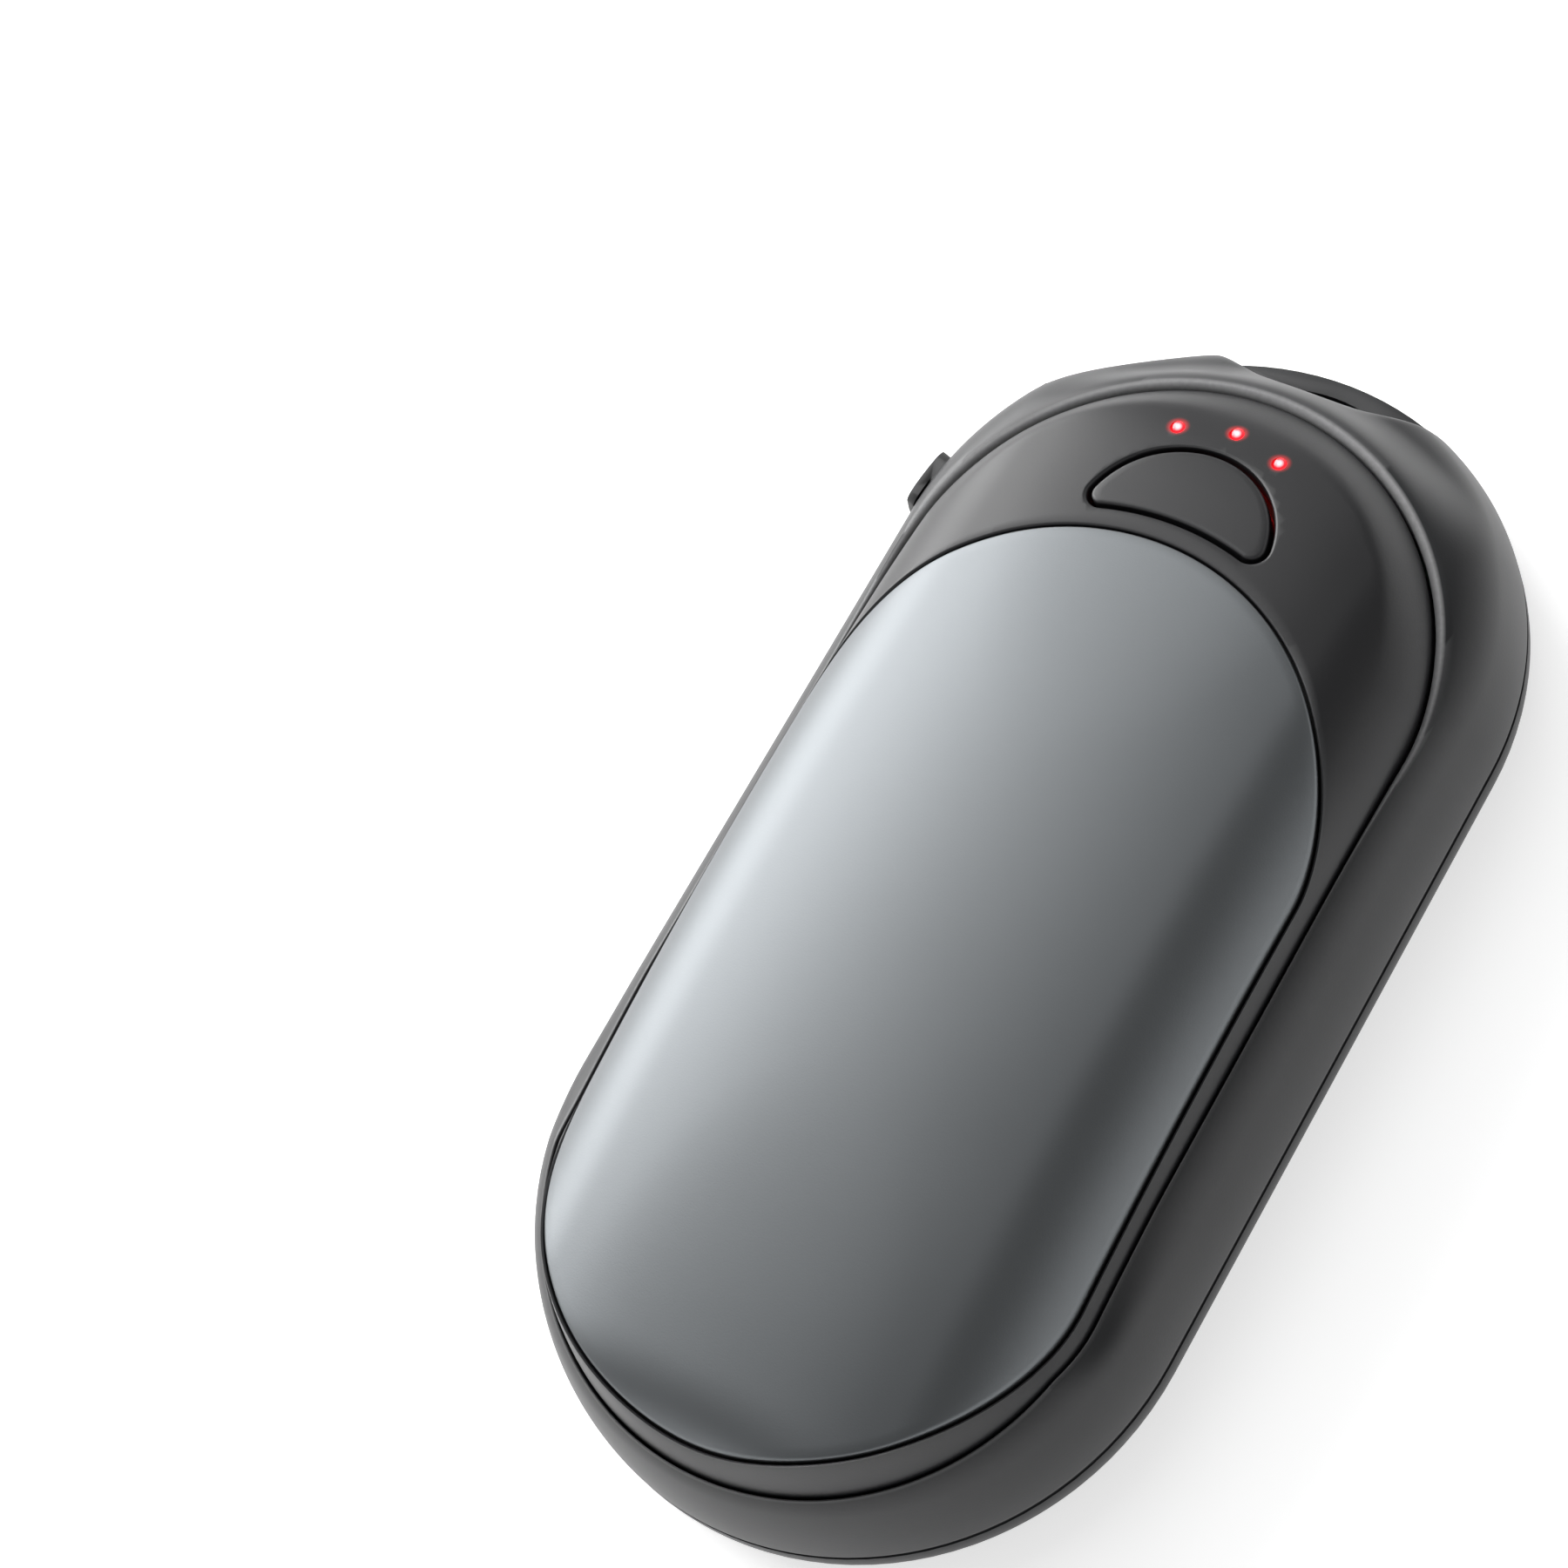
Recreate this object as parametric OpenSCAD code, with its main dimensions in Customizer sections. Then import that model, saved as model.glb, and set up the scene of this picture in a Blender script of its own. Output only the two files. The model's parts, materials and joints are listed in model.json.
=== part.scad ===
// Rechargeable hand warmer: a stadium shaped body that lies on its flat rear face.
// x is the width, y the length with the button end at +y, z the thickness.
// The origin is the centre of the rear face.

/* [Body] */
// Overall length of the body
body_l = 104; // [96:1:120]
// Overall width of the body
body_w = 52; // [50:0.5:56]
// Overall thickness at the top of the crown
body_h = 23; // [22:0.25:26]
// Height of the seam between rear cover and side shell
seam_z = 4.5; // [4:0.25:5]
// Wall thickness of the side shell and of the rear cover's rim
wall_t = 1.8; // [1.6:0.1:2]
// Floor thickness of the rear cover
floor_t = 1.6; // [1.4:0.1:1.8]
// Radius of the rear cover's lower edge
cover_edge_r = 3.2; // [2.4:0.2:3.6]

/* [Side shell] */
// Radius of the lower, steep part of the side
side_r = 22; // [18:0.5:26]
// Radius of the shoulder towards the groove round the front
lip_r = 6; // [5:0.25:7]
// Angle at which the shoulder runs into the upper slope
lip_turn = 70; // [66:1:74]
// Drop from the top of the crown to the top of the shoulder
lip_drop = 7.92; // [7.4:0.02:8.4]

/* [Crown] */
// Radius of the middle of the crown, across the width
crown_r = 70; // [60:1:90]
// Distance from the front plate's edge to the start of the crown's shoulders
crown_edge = 9.35; // [9.1:0.05:9.6]
// Radius of the crown's shoulders
shoulder_r = 10.2; // [9.9:0.1:10.6]
// Radius of the crown along the length
crown_sweep_r = 240; // [220:5:300]
// Radius of the crown's slope at the button end
top_end_r = 26; // [24:1:30]
// Distance from the front plate's button end back to that slope
top_end = 11; // [10:0.5:12]
// Radius of the crown's slope at the other end
low_end_r = 9; // [8.5:0.25:10]
// Distance from the front plate's other end back to that slope
low_end = 6.1; // [5.5:0.1:6.3]

/* [Front plate] */
// Distance from the body's side to the front plate
rim_side = 3.7; // [3.5:0.1:4]
// Distance from the body's button end to the front plate
rim_top = 8.9; // [8.6:0.1:9.4]
// Distance from the body's other end to the front plate
rim_low = 2.3; // [2.2:0.1:2.8]
// Thickness of the front plate
fascia_t = 2.5; // [2.3:0.1:2.7]
// Thickness of the front plate's skirt
skirt_t = 1.3; // [1.1:0.1:1.4]
// Groove between front plate and side shell
rim_groove = 0.45; // [0.35:0.05:0.55]

/* [Heat panel] */
// Distance from the front plate's side to the heat panel
panel_side = 0.7; // [0.6:0.05:0.9]
// Distance from the front plate's button end to the heat panel
panel_top = 15.7; // [15.5:0.1:16.5]
// Distance from the front plate's other end to the heat panel
panel_low = 1.1; // [1:0.1:1.6]
// Thickness of the heat panel
panel_t = 1.2; // [1:0.1:1.3]
// Groove between heat panel and front plate
panel_groove = 0.3; // [0.2:0.05:0.35]
// Width of the ledge that carries the heat panel
ledge_w = 2; // [1.6:0.1:2.2]
// Least thickness of the front plate under the heat panel's edge
ledge_t = 0.6; // [0.5:0.05:0.8]
// Thickness of the heating film
film_t = 0.3; // [0.2:0.05:0.4]
// Distance from the heat panel's edge to the film's edge
film_inset = 3.4; // [3:0.1:4]
// Distance from the heat panel's edge to the insulation's edge
pad_inset = 4.6; // [4.4:0.1:5.2]

/* [Button] */
// Radius of the button's outer arc
button_r = 7.65; // [7:0.05:7.8]
// Distance from the hollow arc's top back to the centre of the outer arc
button_back = 1.2; // [1.1:0.05:1.3]
// Radius of the button's hollow arc
button_hollow_r = 23.75; // [22:0.25:26]
// Distance from the heat panel to the hollow arc's top
button_off = 2.3; // [2.1:0.1:2.5]
// Radius of the button's two tips
button_tip_r = 1; // [0.8:0.05:1.1]
// Groove round the button
button_groove = 0.37; // [0.3:0.01:0.42]
// Thickness of the button's cap
button_t = 3.3; // [3.1:0.1:3.5]
// Width of the flange that keeps the button in
button_flange_w = 0.9; // [0.7:0.1:0.9]
// Thickness of that flange
button_flange_t = 0.7; // [0.6:0.05:0.8]
// Travel of the button
button_travel = 0.4; // [0.3:0.05:0.45]
// Radius of the stem that presses the switch
stem_r = 1.4; // [1.2:0.1:1.8]

/* [Lights] */
// Radius of the arc on which the lights lie
light_arc_r = 8.45; // [8:0.05:9]
// Distance from the centre of the button's outer arc to the centre of that arc
light_off = 1.95; // [1.8:0.05:2.1]
// Angle between two lights
light_step = 32; // [28:1:34]
// Radius of a light guide
light_r = 0.5; // [0.4:0.05:0.6]
// Clearance round a light guide
light_gap = 0.05; // [0.03:0.01:0.08]

/* [Wrist cord bar] */
// Half width of the scoop at the body's outline
scoop_half_w = 10.3; // [9:0.1:11]
// Depth of the scoop from the body's end
scoop_depth = 4.8; // [4.4:0.1:5]
// How far the bar stands above the seam
bar_rise = 1.7; // [1.4:0.1:2]
// Half length of the cord slit
slit_half_l = 4; // [3.5:0.1:4.5]
// Width of the cord slit
slit_w = 1.3; // [1:0.1:1.5]
// Thickness of the bar outside the slit
bar_t = 1.75; // [1.6:0.05:1.9]

/* [Charging port] */
// Angle of the port round the end of the body, from the left side
port_turn = 16.5; // [15:0.5:18]
// Width of the flap
flap_w = 10.4; // [10:0.1:10.6]
// Height of the flap
flap_h = 8.6; // [8:0.1:9]
// Distance from the flap's middle up to the port's middle
flap_drop = 0.93; // [0.8:0.01:0.95]
// Thickness of the flap
flap_t = 1; // [0.9:0.05:1.1]
// Radius of the flap's corners
flap_corner_r = 1.8; // [1.4:0.1:2.2]
// Gap round the flap
flap_gap = 0.2; // [0.15:0.01:0.25]
// Width of the pull tab
tab_w = 5; // [4.6:0.1:5.2]
// Height of the pull tab
tab_h = 6.4; // [6:0.1:6.8]
// How far the pull tab stands proud of the shell
tab_proud = 0.9; // [0.7:0.05:1]
// How far the pull tab reaches past the flap
tab_reach = 1.2; // [1:0.1:1.4]
// Radius of the pull tab's corners
tab_corner_r = 1.1; // [0.8:0.1:1.3]
// Width of the connector's sleeve
usb_w = 8.94; // [8.84:0.02:9]
// Height of the connector's sleeve
usb_h = 3.26; // [3.2:0.02:3.3]
// Length of the connector's sleeve
usb_l = 7.3; // [7:0.1:7.6]
// Wall of the connector's sleeve
usb_wall = 0.3; // [0.25:0.05:0.35]

/* [Cell] */
// Gap between the cell and the screw posts
cell_gap = 0.6; // [0.5:0.1:0.8]
// Gap between the cell's corners and the wall
cell_corner_gap = 1.4; // [1.2:0.1:1.8]
// Radius of the cell's long edges in plan
cell_corner_r = 2.4; // [2:0.1:3]
// Room for the cell's protection between the cell and the main board
cell_room = 1.8; // [1.7:0.05:2]
// Thickness of the foam under the cell
foam_t = 0.8; // [0.6:0.1:0.8]

/* [Boards] */
// Thickness of the boards
board_t = 1.2; // [1:0.1:1.2]
// Distance from the middle of the body's end arc back to the main board
board_back = 4.2; // [4:0.1:4.4]
// Gap between the main board and the wall of the scoop
board_end_gap = 2.2; // [2:0.1:2.4]
// Room between the main board and the key board
board_room = 4.2; // [4.1:0.05:4.3]
// Distance from the top of the crown down to the screwed stack
stack_drop = 10.3; // [10.2:0.05:10.4]
// Half width of the key board
key_half_w = 9.8; // [9.6:0.1:10]
// Distance from the heat panel's end to the key board
key_off = 0.2; // [0.1:0.05:0.4]
// Side of the switch's body
switch_w = 4.5; // [4:0.1:5]
// Height of the switch's body
switch_h = 1.8; // [1.6:0.05:2]
// Radius of the switch's plunger
plunger_r = 1; // [0.8:0.05:1.1]
// How far the plunger stands out of the switch
plunger_out = 0.8; // [0.7:0.05:0.9]

/* [Fasteners] */
// Radius of the case screws
screw_r = 0.85; // [0.8:0.01:0.9]
// Radius of the case screws' heads
screw_head_r = 1.6; // [1.5:0.05:1.65]
// Height of the case screws' heads
screw_head_h = 0.9; // [0.8:0.05:1]
// How far the case screws reach into the front plate
screw_grip = 2; // [1.8:0.1:2.1]
// Distance from the front plate's edge to the side screws
side_screw_in = 2.2; // [2.1:0.05:2.4]
// Distance from the body's end to the screws at the button side
top_screw_in = 9.9; // [9.7:0.1:10.1]
// Radius of the small screws that hold the boards
small_screw_r = 0.6; // [0.5:0.05:0.65]
// Radius of the magnets
magnet_r = 3.5; // [3:0.1:3.6]
// Thickness of the magnets
magnet_t = 2; // [1.6:0.1:2.2]

/* [Hidden] */
$fn = 96;

// One overrun serves all cuts
over = 0.5;
// Gap between pieces that only lie near each other
near_gap = 0.3;
// Gap between pieces that seat on each other
seat_gap = 0.05;
// Running clearance of round pins in their holes
run_gap = 0.05;

// Body
body_r = body_w / 2;
spine_half = body_l / 2 - body_r;

// Front plate and heat panel in plan
rim_r = body_r - rim_side;
rim_half = (body_l - rim_top - rim_low) / 2 - rim_r;
rim_y = (rim_low - rim_top) / 2;
panel_r = rim_r - panel_side;
panel_half = rim_half + rim_r - (panel_top + panel_low) / 2 - panel_r;
panel_y = rim_y + (panel_low - panel_top) / 2;
panel_end_y = panel_y + panel_half + panel_r;

// Side shell profile, seen along the body: distance from the spine and height
side_c = [body_r - side_r, seam_z];
side_turn = asin((body_h - lip_drop - lip_r * sin(lip_turn) - seam_z) / (side_r - lip_r));
lip_c = side_c + (side_r - lip_r) * [cos(side_turn), sin(side_turn)];
slope = 1 / tan(lip_turn);
side_steps = 3;
lip_steps = 7;
lip_step = (lip_turn - side_turn) / lip_steps;

// Crown profile, seen along the body, in radii of the lengthwise sweep
crown_c = crown_sweep_r - crown_r;
crown_turn = asin((rim_r - crown_edge) / (crown_r - shoulder_r));
shoulder_c = [crown_c + (crown_r - shoulder_r) * cos(crown_turn), (crown_r - shoulder_r) * sin(crown_turn)];
crown_low = crown_sweep_r - body_h - over;
crown_span = 2 * asin(body_l / 2 / crown_sweep_r) + 2 * asin(body_r / crown_sweep_r);
crown_steps = 6;
crown_step = 2 * crown_turn / crown_steps;
shoulder_steps = 9;
sweep_fn = 360;

// Slopes at the crown's two ends, seen across the body: the turn at which each starts, and its centre
top_turn = 90 - asin((rim_y + rim_half + rim_r - top_end) / crown_sweep_r);
low_turn = 90 + asin((rim_half + rim_r - rim_y - low_end) / crown_sweep_r);
end_rise = 0.12;
top_c = [0, body_h - crown_sweep_r + end_rise] + (crown_sweep_r - top_end_r) * [cos(top_turn), sin(top_turn)];
low_c = [0, body_h - crown_sweep_r + end_rise] + (crown_sweep_r - low_end_r) * [cos(low_turn), sin(low_turn)];
top_steps = 12;
low_steps = 8;

// Lap joint of the rear cover and the side shell
lap_t = wall_t / 2;
lap_gap = 0.1;
tongue_h = 1.2;
seam_groove = 0.3;

// Screw posts, lugs and their stack
post_r = 2.1;
boss_r = 2;
lug_t = 1.5;
lug_arm_w = 2.8;
stack_z = body_h - stack_drop;
lug_z = stack_z - lug_t;
hole_gap = 0.15;
hole_r = screw_r + hole_gap;
pilot_gap = 0.03;
pilot_r = screw_r + pilot_gap;
head_gap = 0.2;
head_sink = 0.3;
screw_tip_z = stack_z + screw_grip;
bore_top = screw_tip_z + near_gap;
skirt_rise = 0.2;
skirt_z = stack_z + skirt_rise;
panel_low_z = skirt_z + ledge_t;
side_screw_x = rim_r - side_screw_in;
top_screw_d = body_r - top_screw_in;
top_screw_turn = port_turn + asin((usb_w / 2 + post_r + near_gap) / top_screw_d);
case_places = [
    [side_screw_x, panel_y, 0], [-side_screw_x, panel_y, 180],
    for (a = [top_screw_turn, 180 - top_screw_turn])
        [top_screw_d * cos(a), spine_half + top_screw_d * sin(a), a]
];

// Wrist cord scoop: a round cut whose middle lies past the body's end
bar_z = seam_z + bar_rise;
scoop_sag = scoop_depth - (body_r - sqrt(body_r * body_r - scoop_half_w * scoop_half_w));
scoop_r = (scoop_half_w * scoop_half_w + scoop_sag * scoop_sag) / (2 * scoop_sag);
scoop_y = body_l / 2 - scoop_depth + scoop_r;
slit_r = (slit_half_l * slit_half_l + slit_w * slit_w / 4) / slit_w;
slit_y = body_l / 2 - bar_t - slit_w / 2;

// Button: its tips are round and touch both arcs
button_low_y = panel_end_y + button_off;
button_y = button_low_y - button_back;
button_hollow_y = button_low_y - button_hollow_r;
button_d = button_y - button_hollow_y;
tip_a = button_r - button_tip_r;
tip_b = button_hollow_r + button_tip_r;
tip_rise = (tip_b * tip_b - tip_a * tip_a + button_d * button_d) / (2 * button_d);
tip_c = [sqrt(tip_b * tip_b - tip_rise * tip_rise), button_hollow_y + tip_rise];
tip_high = atan2(tip_c[1] - button_y, tip_c[0]);
tip_low = atan2(tip_rise, tip_c[0]);
button_steps = 14;
tip_steps = 6;
hollow_steps = 8;
tip_step = (180 + tip_high - tip_low) / tip_steps;
hollow_step = (180 - 2 * tip_low) / hollow_steps;
stem_y = (button_low_y + button_y + button_r) / 2;

// Boards and switch
key_z = stack_z + lap_gap;
key_top = key_z + board_t;
key_y = panel_end_y + key_off;
board_z = key_z - board_room;
board_low = board_z - board_t;
board_y = spine_half - board_back;
board_l = body_l / 2 - scoop_depth - wall_t - board_end_gap - board_y;
key_edge_r = rim_r - skirt_t - near_gap;
plunger_top = key_top + switch_h + plunger_out;
stem_z = plunger_top + seat_gap;
light_arc_y = button_y + light_off;
led_size = [1.6, 0.8, 0.6];
light_bar_z = key_top + led_size[2] + 2 * seat_gap;
light_bar_t = 0.6;
light_bar_w = 1.8;
light_places = [for (i = [-1:1]) [light_arc_r * sin(i * light_step), light_arc_y + light_arc_r * cos(i * light_step)]];

// Mid frame on shelves of the side shell
frame_t = 1.2;
frame_inset = 4;
shelf_w = 3;
shelf_in = 1.6;
ear_w = 2.4;
shelf_x = panel_r - ledge_w - lap_gap;
shelf_in_y = 2;
shelf_y = [for (s = [-1, 1]) panel_y + s * (panel_half - shelf_in_y)];

// Port, in a frame whose x axis points out of the port
port_wall = 0.8;
port_margin = 1.2;
port_gap = 0.16;
port_arc = 64;
hinge_gap = 0.1;
usb_z = board_z + usb_h / 2;
usb_in = 2.9;
usb_front = body_r - usb_in;
flap_mid_z = usb_z - flap_drop;
plug_w = 6.6;
plug_h = 1.9;
plug_in = 3.6;
plug_tip_x = body_r - plug_in;
tongue_l = 4.6;
tongue_w = 6.7;
tongue_t = 0.7;
tongue_sink = 1;
usb_back_t = 0.8;
anchor_w = 2.6;
anchor_h = 5;
anchor_stem_r = 0.8;
anchor_head_r = 1.2;
anchor_head_t = 0.7;
anchor_drop = 0.2;
anchor_z = usb_z - anchor_drop;
anchor_y = -flap_w / 2 - flap_gap - hinge_gap - anchor_w / 2;
anchor_in = 5.4;
anchor_head_x = body_r - anchor_in;
anchor_cut_w = anchor_w + seat_gap + hinge_gap + flap_gap;

// Cell
cell_w = 2 * (side_screw_x - post_r - cell_gap);
cell_end_y = board_y - cell_room;
cell_low_y = -spine_half - sqrt(pow(body_r - wall_t - cell_corner_gap, 2) - cell_w * cell_w / 4);
cell_l = cell_end_y - cell_low_y;
cell_y = (cell_end_y + cell_low_y) / 2;
cell_z = floor_t + foam_t;
cell_top = stack_z - near_gap;
cell_t = cell_top - cell_z;
foam_inset = 3;
cut_in_size = [5, 1.6, 3];
cut_in_off = 6.4;
cut_in_x = cell_w / 2 - cut_in_off;
guard_size = [22, 1, 6];
guard_off = 2.4;
guard_x = guard_off + guard_size[0] / 2 - cell_w / 2;

// Main board parts: place of each middle, and size
chip_share = [0.08, 0.6];
chip_size = [4, 4, 0.9];
coil_share = [0.4, 0.48];
coil_size = [5, 5, 3];
coil_core_r = 1.9;
cap_size = [2, 1.25, 1.25];
cap_shares = [[-0.19, 0.66], [-0.19, 0.55], [0.22, 0.27], [0.65, 0.52]];
plug_share = [0.59, 0.25];
plug_size = [5.8, 4.4, 3];
plug_place = on_board(plug_share);
lead_r = 0.45;
board_screw_x = 10;
board_screw_in = 2.8;
board_screw_y = board_y + board_screw_in;
board_post_r = 1.9;
small_head_r = 1.1;
small_head_h = 0.7;
small_screw_l = 4;
key_screw_x = 8.5;
key_screw_in = 5.8;
key_screw_y = key_y + key_screw_in;
key_boss_r = 1.3;
link_in = 3.2;
link_y = rim_y + rim_half + rim_r - link_in;
link_pins = 6;
link_pitch = 1.27;
link_pin_w = 0.4;
link_w = 2;
link_h = 2.5;

// Sensor
bead_r = 0.9;
bead_off = 6.6;
bead_y = panel_y + bead_off;
pocket_r = 1.3;

// Magnets
magnet_off = 4.6;
magnet_places = [[0, cell_low_y - magnet_off], [0, board_y + board_l / 2]];
magnet_z = 0.8;
magnet_rim = 0.8;

// Colours
dark = [0.17, 0.17, 0.18];
shade = [0.13, 0.13, 0.14];
metal = [0.55, 0.57, 0.59];
steel = [0.72, 0.72, 0.74];
board_green = [0.05, 0.32, 0.2];
gold = [0.8, 0.65, 0.3];

// A stadium, long along y
module stadium(r, half) {
    square([2 * r, 2 * half], center = true);
    for (s = [-1, 1]) translate([0, s * half]) circle(r);
}

// Plan shapes raised from one height to another
module raise(low, high) {
    translate([0, 0, low]) linear_extrude(high - low) children();
}

// A profile of distance and height carried round the body's stadium
module sweep_round() {
    for (turn = [0, 180]) rotate([0, 0, turn]) {
        translate([0, spine_half, 0]) rotate_extrude(angle = 180) children();
        rotate([90, 0, 0]) linear_extrude(2 * spine_half, center = true) children();
    }
}

// A place on the main board, in shares of the body's half width and of the board's length
function on_board(share) = [share[0] * body_r, board_y + share[1] * board_l];

// Points along an arc
function arc(centre, r, from, to, steps) = [
    for (i = [0:steps]) let (a = from + (to - from) * i / steps) centre + r * [cos(a), sin(a)]
];

// Outline of the side shell above a height, drawn in by an inset
module shell_outline(inset, low) {
    lip_end = lip_c + (lip_r - inset) * [cos(lip_turn), sin(lip_turn)];
    polygon(concat(
        [[0, low]],
        low < seam_z ? [[body_r - inset, low]] : [],
        arc(side_c, side_r - inset, 0, side_turn, side_steps),
        arc(lip_c, lip_r - inset, side_turn + lip_step, lip_turn, lip_steps - 1),
        [[0, lip_end[1] + lip_end[0] * slope]]
    ));
}

// Crowned block below the front surface, drawn in by an inset
module crown(inset) intersection() {
    edge = shoulder_c[1] + shoulder_r - inset;
    translate([0, 0, body_h - crown_sweep_r]) rotate([90, 0, 90]) rotate([0, 0, 90 - crown_span / 2])
        rotate_extrude(angle = crown_span, $fn = sweep_fn) polygon(concat(
            [[crown_low, -edge]],
            arc([shoulder_c[0], -shoulder_c[1]], shoulder_r - inset, -90, -crown_turn, shoulder_steps),
            arc([crown_c, 0], crown_r - inset, -crown_turn + crown_step, crown_turn - crown_step, crown_steps - 2),
            arc(shoulder_c, shoulder_r - inset, crown_turn, 90, shoulder_steps),
            [[crown_low, edge]]
        ));
    rotate([90, 0, 90]) linear_extrude(body_w, center = true) polygon(concat(
        arc(top_c, top_end_r - inset, 0, top_turn, top_steps),
        [[0, 2 * body_h]],
        arc(low_c, low_end_r - inset, low_turn, 180, low_steps),
        [[low_c[0] - low_end_r + inset, top_c[1]]]
    ));
}

// Plan shapes of the front plate and the heat panel, widened by a margin
module rim_plan(margin) {
    translate([0, rim_y]) stadium(rim_r + margin, rim_half);
}

module panel_plan(margin) {
    translate([0, panel_y]) stadium(panel_r + margin, panel_half);
}

// Plan shape of the button, widened by a margin: two long arcs and two round tips
module button_plan(margin) {
    left = [-tip_c[0], tip_c[1]];
    polygon(concat(
        arc([0, button_y], button_r + margin, tip_high, 180 - tip_high, button_steps),
        arc(left, button_tip_r + margin, 180 - tip_high + tip_step, 360 - tip_low, tip_steps - 1),
        arc([0, button_hollow_y], button_hollow_r - margin, 180 - tip_low - hollow_step,
            tip_low + hollow_step, hollow_steps - 2),
        arc(tip_c, button_tip_r + margin, 180 + tip_low, 360 + tip_high - tip_step, tip_steps - 1)
    ));
}

// Round cut of the scoop, widened by a margin
module scoop(margin, low, high) {
    raise(low, high) translate([0, scoop_y]) circle(scoop_r + margin);
}

// Things placed in the frame of the charging port
module at_port() {
    translate([0, spine_half, 0]) rotate([0, 0, 180 - port_turn]) children();
}

// Part of the body at the port, drawn in by an inset
module port_body(inset) {
    rotate([0, 0, -port_arc / 2]) rotate_extrude(angle = port_arc) shell_outline(inset, seam_z);
}

// Part of the shell's skin at the port, between two insets
module port_skin(outer, inner) {
    rotate([0, 0, -port_arc / 2]) rotate_extrude(angle = port_arc) difference() {
        shell_outline(outer, seam_z);
        shell_outline(inner, seam_z - over);
    }
}

// The thickened wall round the port's pocket, widened by a margin
module port_pad(margin) {
    w = flap_w + 2 * port_margin + 2 * margin;
    h = flap_h + 2 * port_margin + 2 * margin;
    window(0, flap_mid_z, w, h, flap_corner_r + margin, 0, body_r);
}

// A rounded window that looks along the port's x axis
module window(y, z, w, h, r, from_x, to_x) {
    translate([from_x, y, z]) rotate([90, 0, 90]) linear_extrude(to_x - from_x) {
        square([w - 2 * r, h], center = true);
        square([w, h - 2 * r], center = true);
        for (a = [-1, 1], b = [-1, 1]) translate([a * (w / 2 - r), b * (h / 2 - r)]) circle(r);
    }
}

// A block that stands on a height, placed by its middle
module block(place, low, size) {
    translate([place[0] - size[0] / 2, place[1] - size[1] / 2, low]) cube(size);
}

// A bent round lead through hand chosen points
module lead(points, r, sides = 8) {
    last = len(points) - 1;
    rings = [
        for (i = [0:last]) let (
            d = points[min(i + 1, last)] - points[max(i - 1, 0)],
            t = d / norm(d),
            side = cross(t, [1, 0, 0]) / norm(cross(t, [1, 0, 0])),
            up = cross(t, side)
        ) for (k = [0:sides - 1]) points[i] + r * (cos(k * 360 / sides) * side + sin(k * 360 / sides) * up)
    ];
    skin = [
        for (i = [0:last - 1], k = [0:sides - 1]) let (n = (k + 1) % sides)
            each [
                [i * sides + k, i * sides + n, (i + 1) * sides + n],
                [i * sides + k, (i + 1) * sides + n, (i + 1) * sides + k]
            ]
    ];
    ends = [[for (k = [sides - 1:-1:0]) k], [for (k = [0:sides - 1]) last * sides + k]];
    polyhedron(rings, concat(skin, ends), convexity = 4);
}

// Tray behind the seam, with screw posts, board posts, magnet cups and the cord bar
module rear_cover() color(shade) difference() {
    union() {
        difference() {
            sweep_round() intersection() {
                square([body_r, seam_z]);
                union() {
                    square([body_r - cover_edge_r, seam_z]);
                    translate([body_r - cover_edge_r, cover_edge_r]) circle(cover_edge_r);
                    translate([0, cover_edge_r]) square([body_r, seam_z - cover_edge_r - seam_groove]);
                    translate([0, cover_edge_r]) square([body_r - seam_groove, seam_z - cover_edge_r]);
                }
            }
            difference() {
                raise(floor_t, seam_z + over) stadium(body_r - wall_t, spine_half);
                scoop(wall_t, 0, body_h);
            }
        }
        difference() {
            raise(seam_z - over, seam_z + tongue_h) difference() {
                stadium(body_r - wall_t + lap_t - lap_gap, spine_half);
                stadium(body_r - wall_t, spine_half);
            }
            scoop(wall_t + lap_gap, 0, body_h);
            at_port() port_pad(lap_gap);
        }
        intersection() {
            raise(seam_z - over, bar_z) stadium(body_r - seam_groove, spine_half);
            scoop(-near_gap, 0, body_h);
        }
        for (p = case_places) translate([p[0], p[1], 0]) raise(floor_t - over, lug_z) circle(post_r);
        for (s = [-1, 1]) translate([s * board_screw_x, board_screw_y, 0])
            raise(floor_t - over, board_low) circle(board_post_r);
        for (p = magnet_places) translate([p[0], p[1], 0])
            raise(floor_t - over, magnet_z + magnet_t) circle(magnet_r + seat_gap + magnet_rim);
    }
    for (p = case_places) translate([p[0], p[1], 0]) {
        raise(-over, lug_z + over) circle(hole_r);
        raise(-over, head_sink + screw_head_h) circle(screw_head_r + head_gap);
    }
    for (s = [-1, 1]) translate([s * board_screw_x, board_screw_y, 0])
        raise(board_z - small_screw_l - near_gap, board_z) circle(small_screw_r + run_gap);
    for (p = magnet_places) translate([p[0], p[1], 0])
        raise(magnet_z, body_h) circle(magnet_r + seat_gap);
    raise(-over, body_h) intersection() {
        translate([0, slit_y + slit_r - slit_w / 2]) circle(slit_r);
        translate([0, slit_y - slit_r + slit_w / 2]) circle(slit_r);
    }
}

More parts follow.
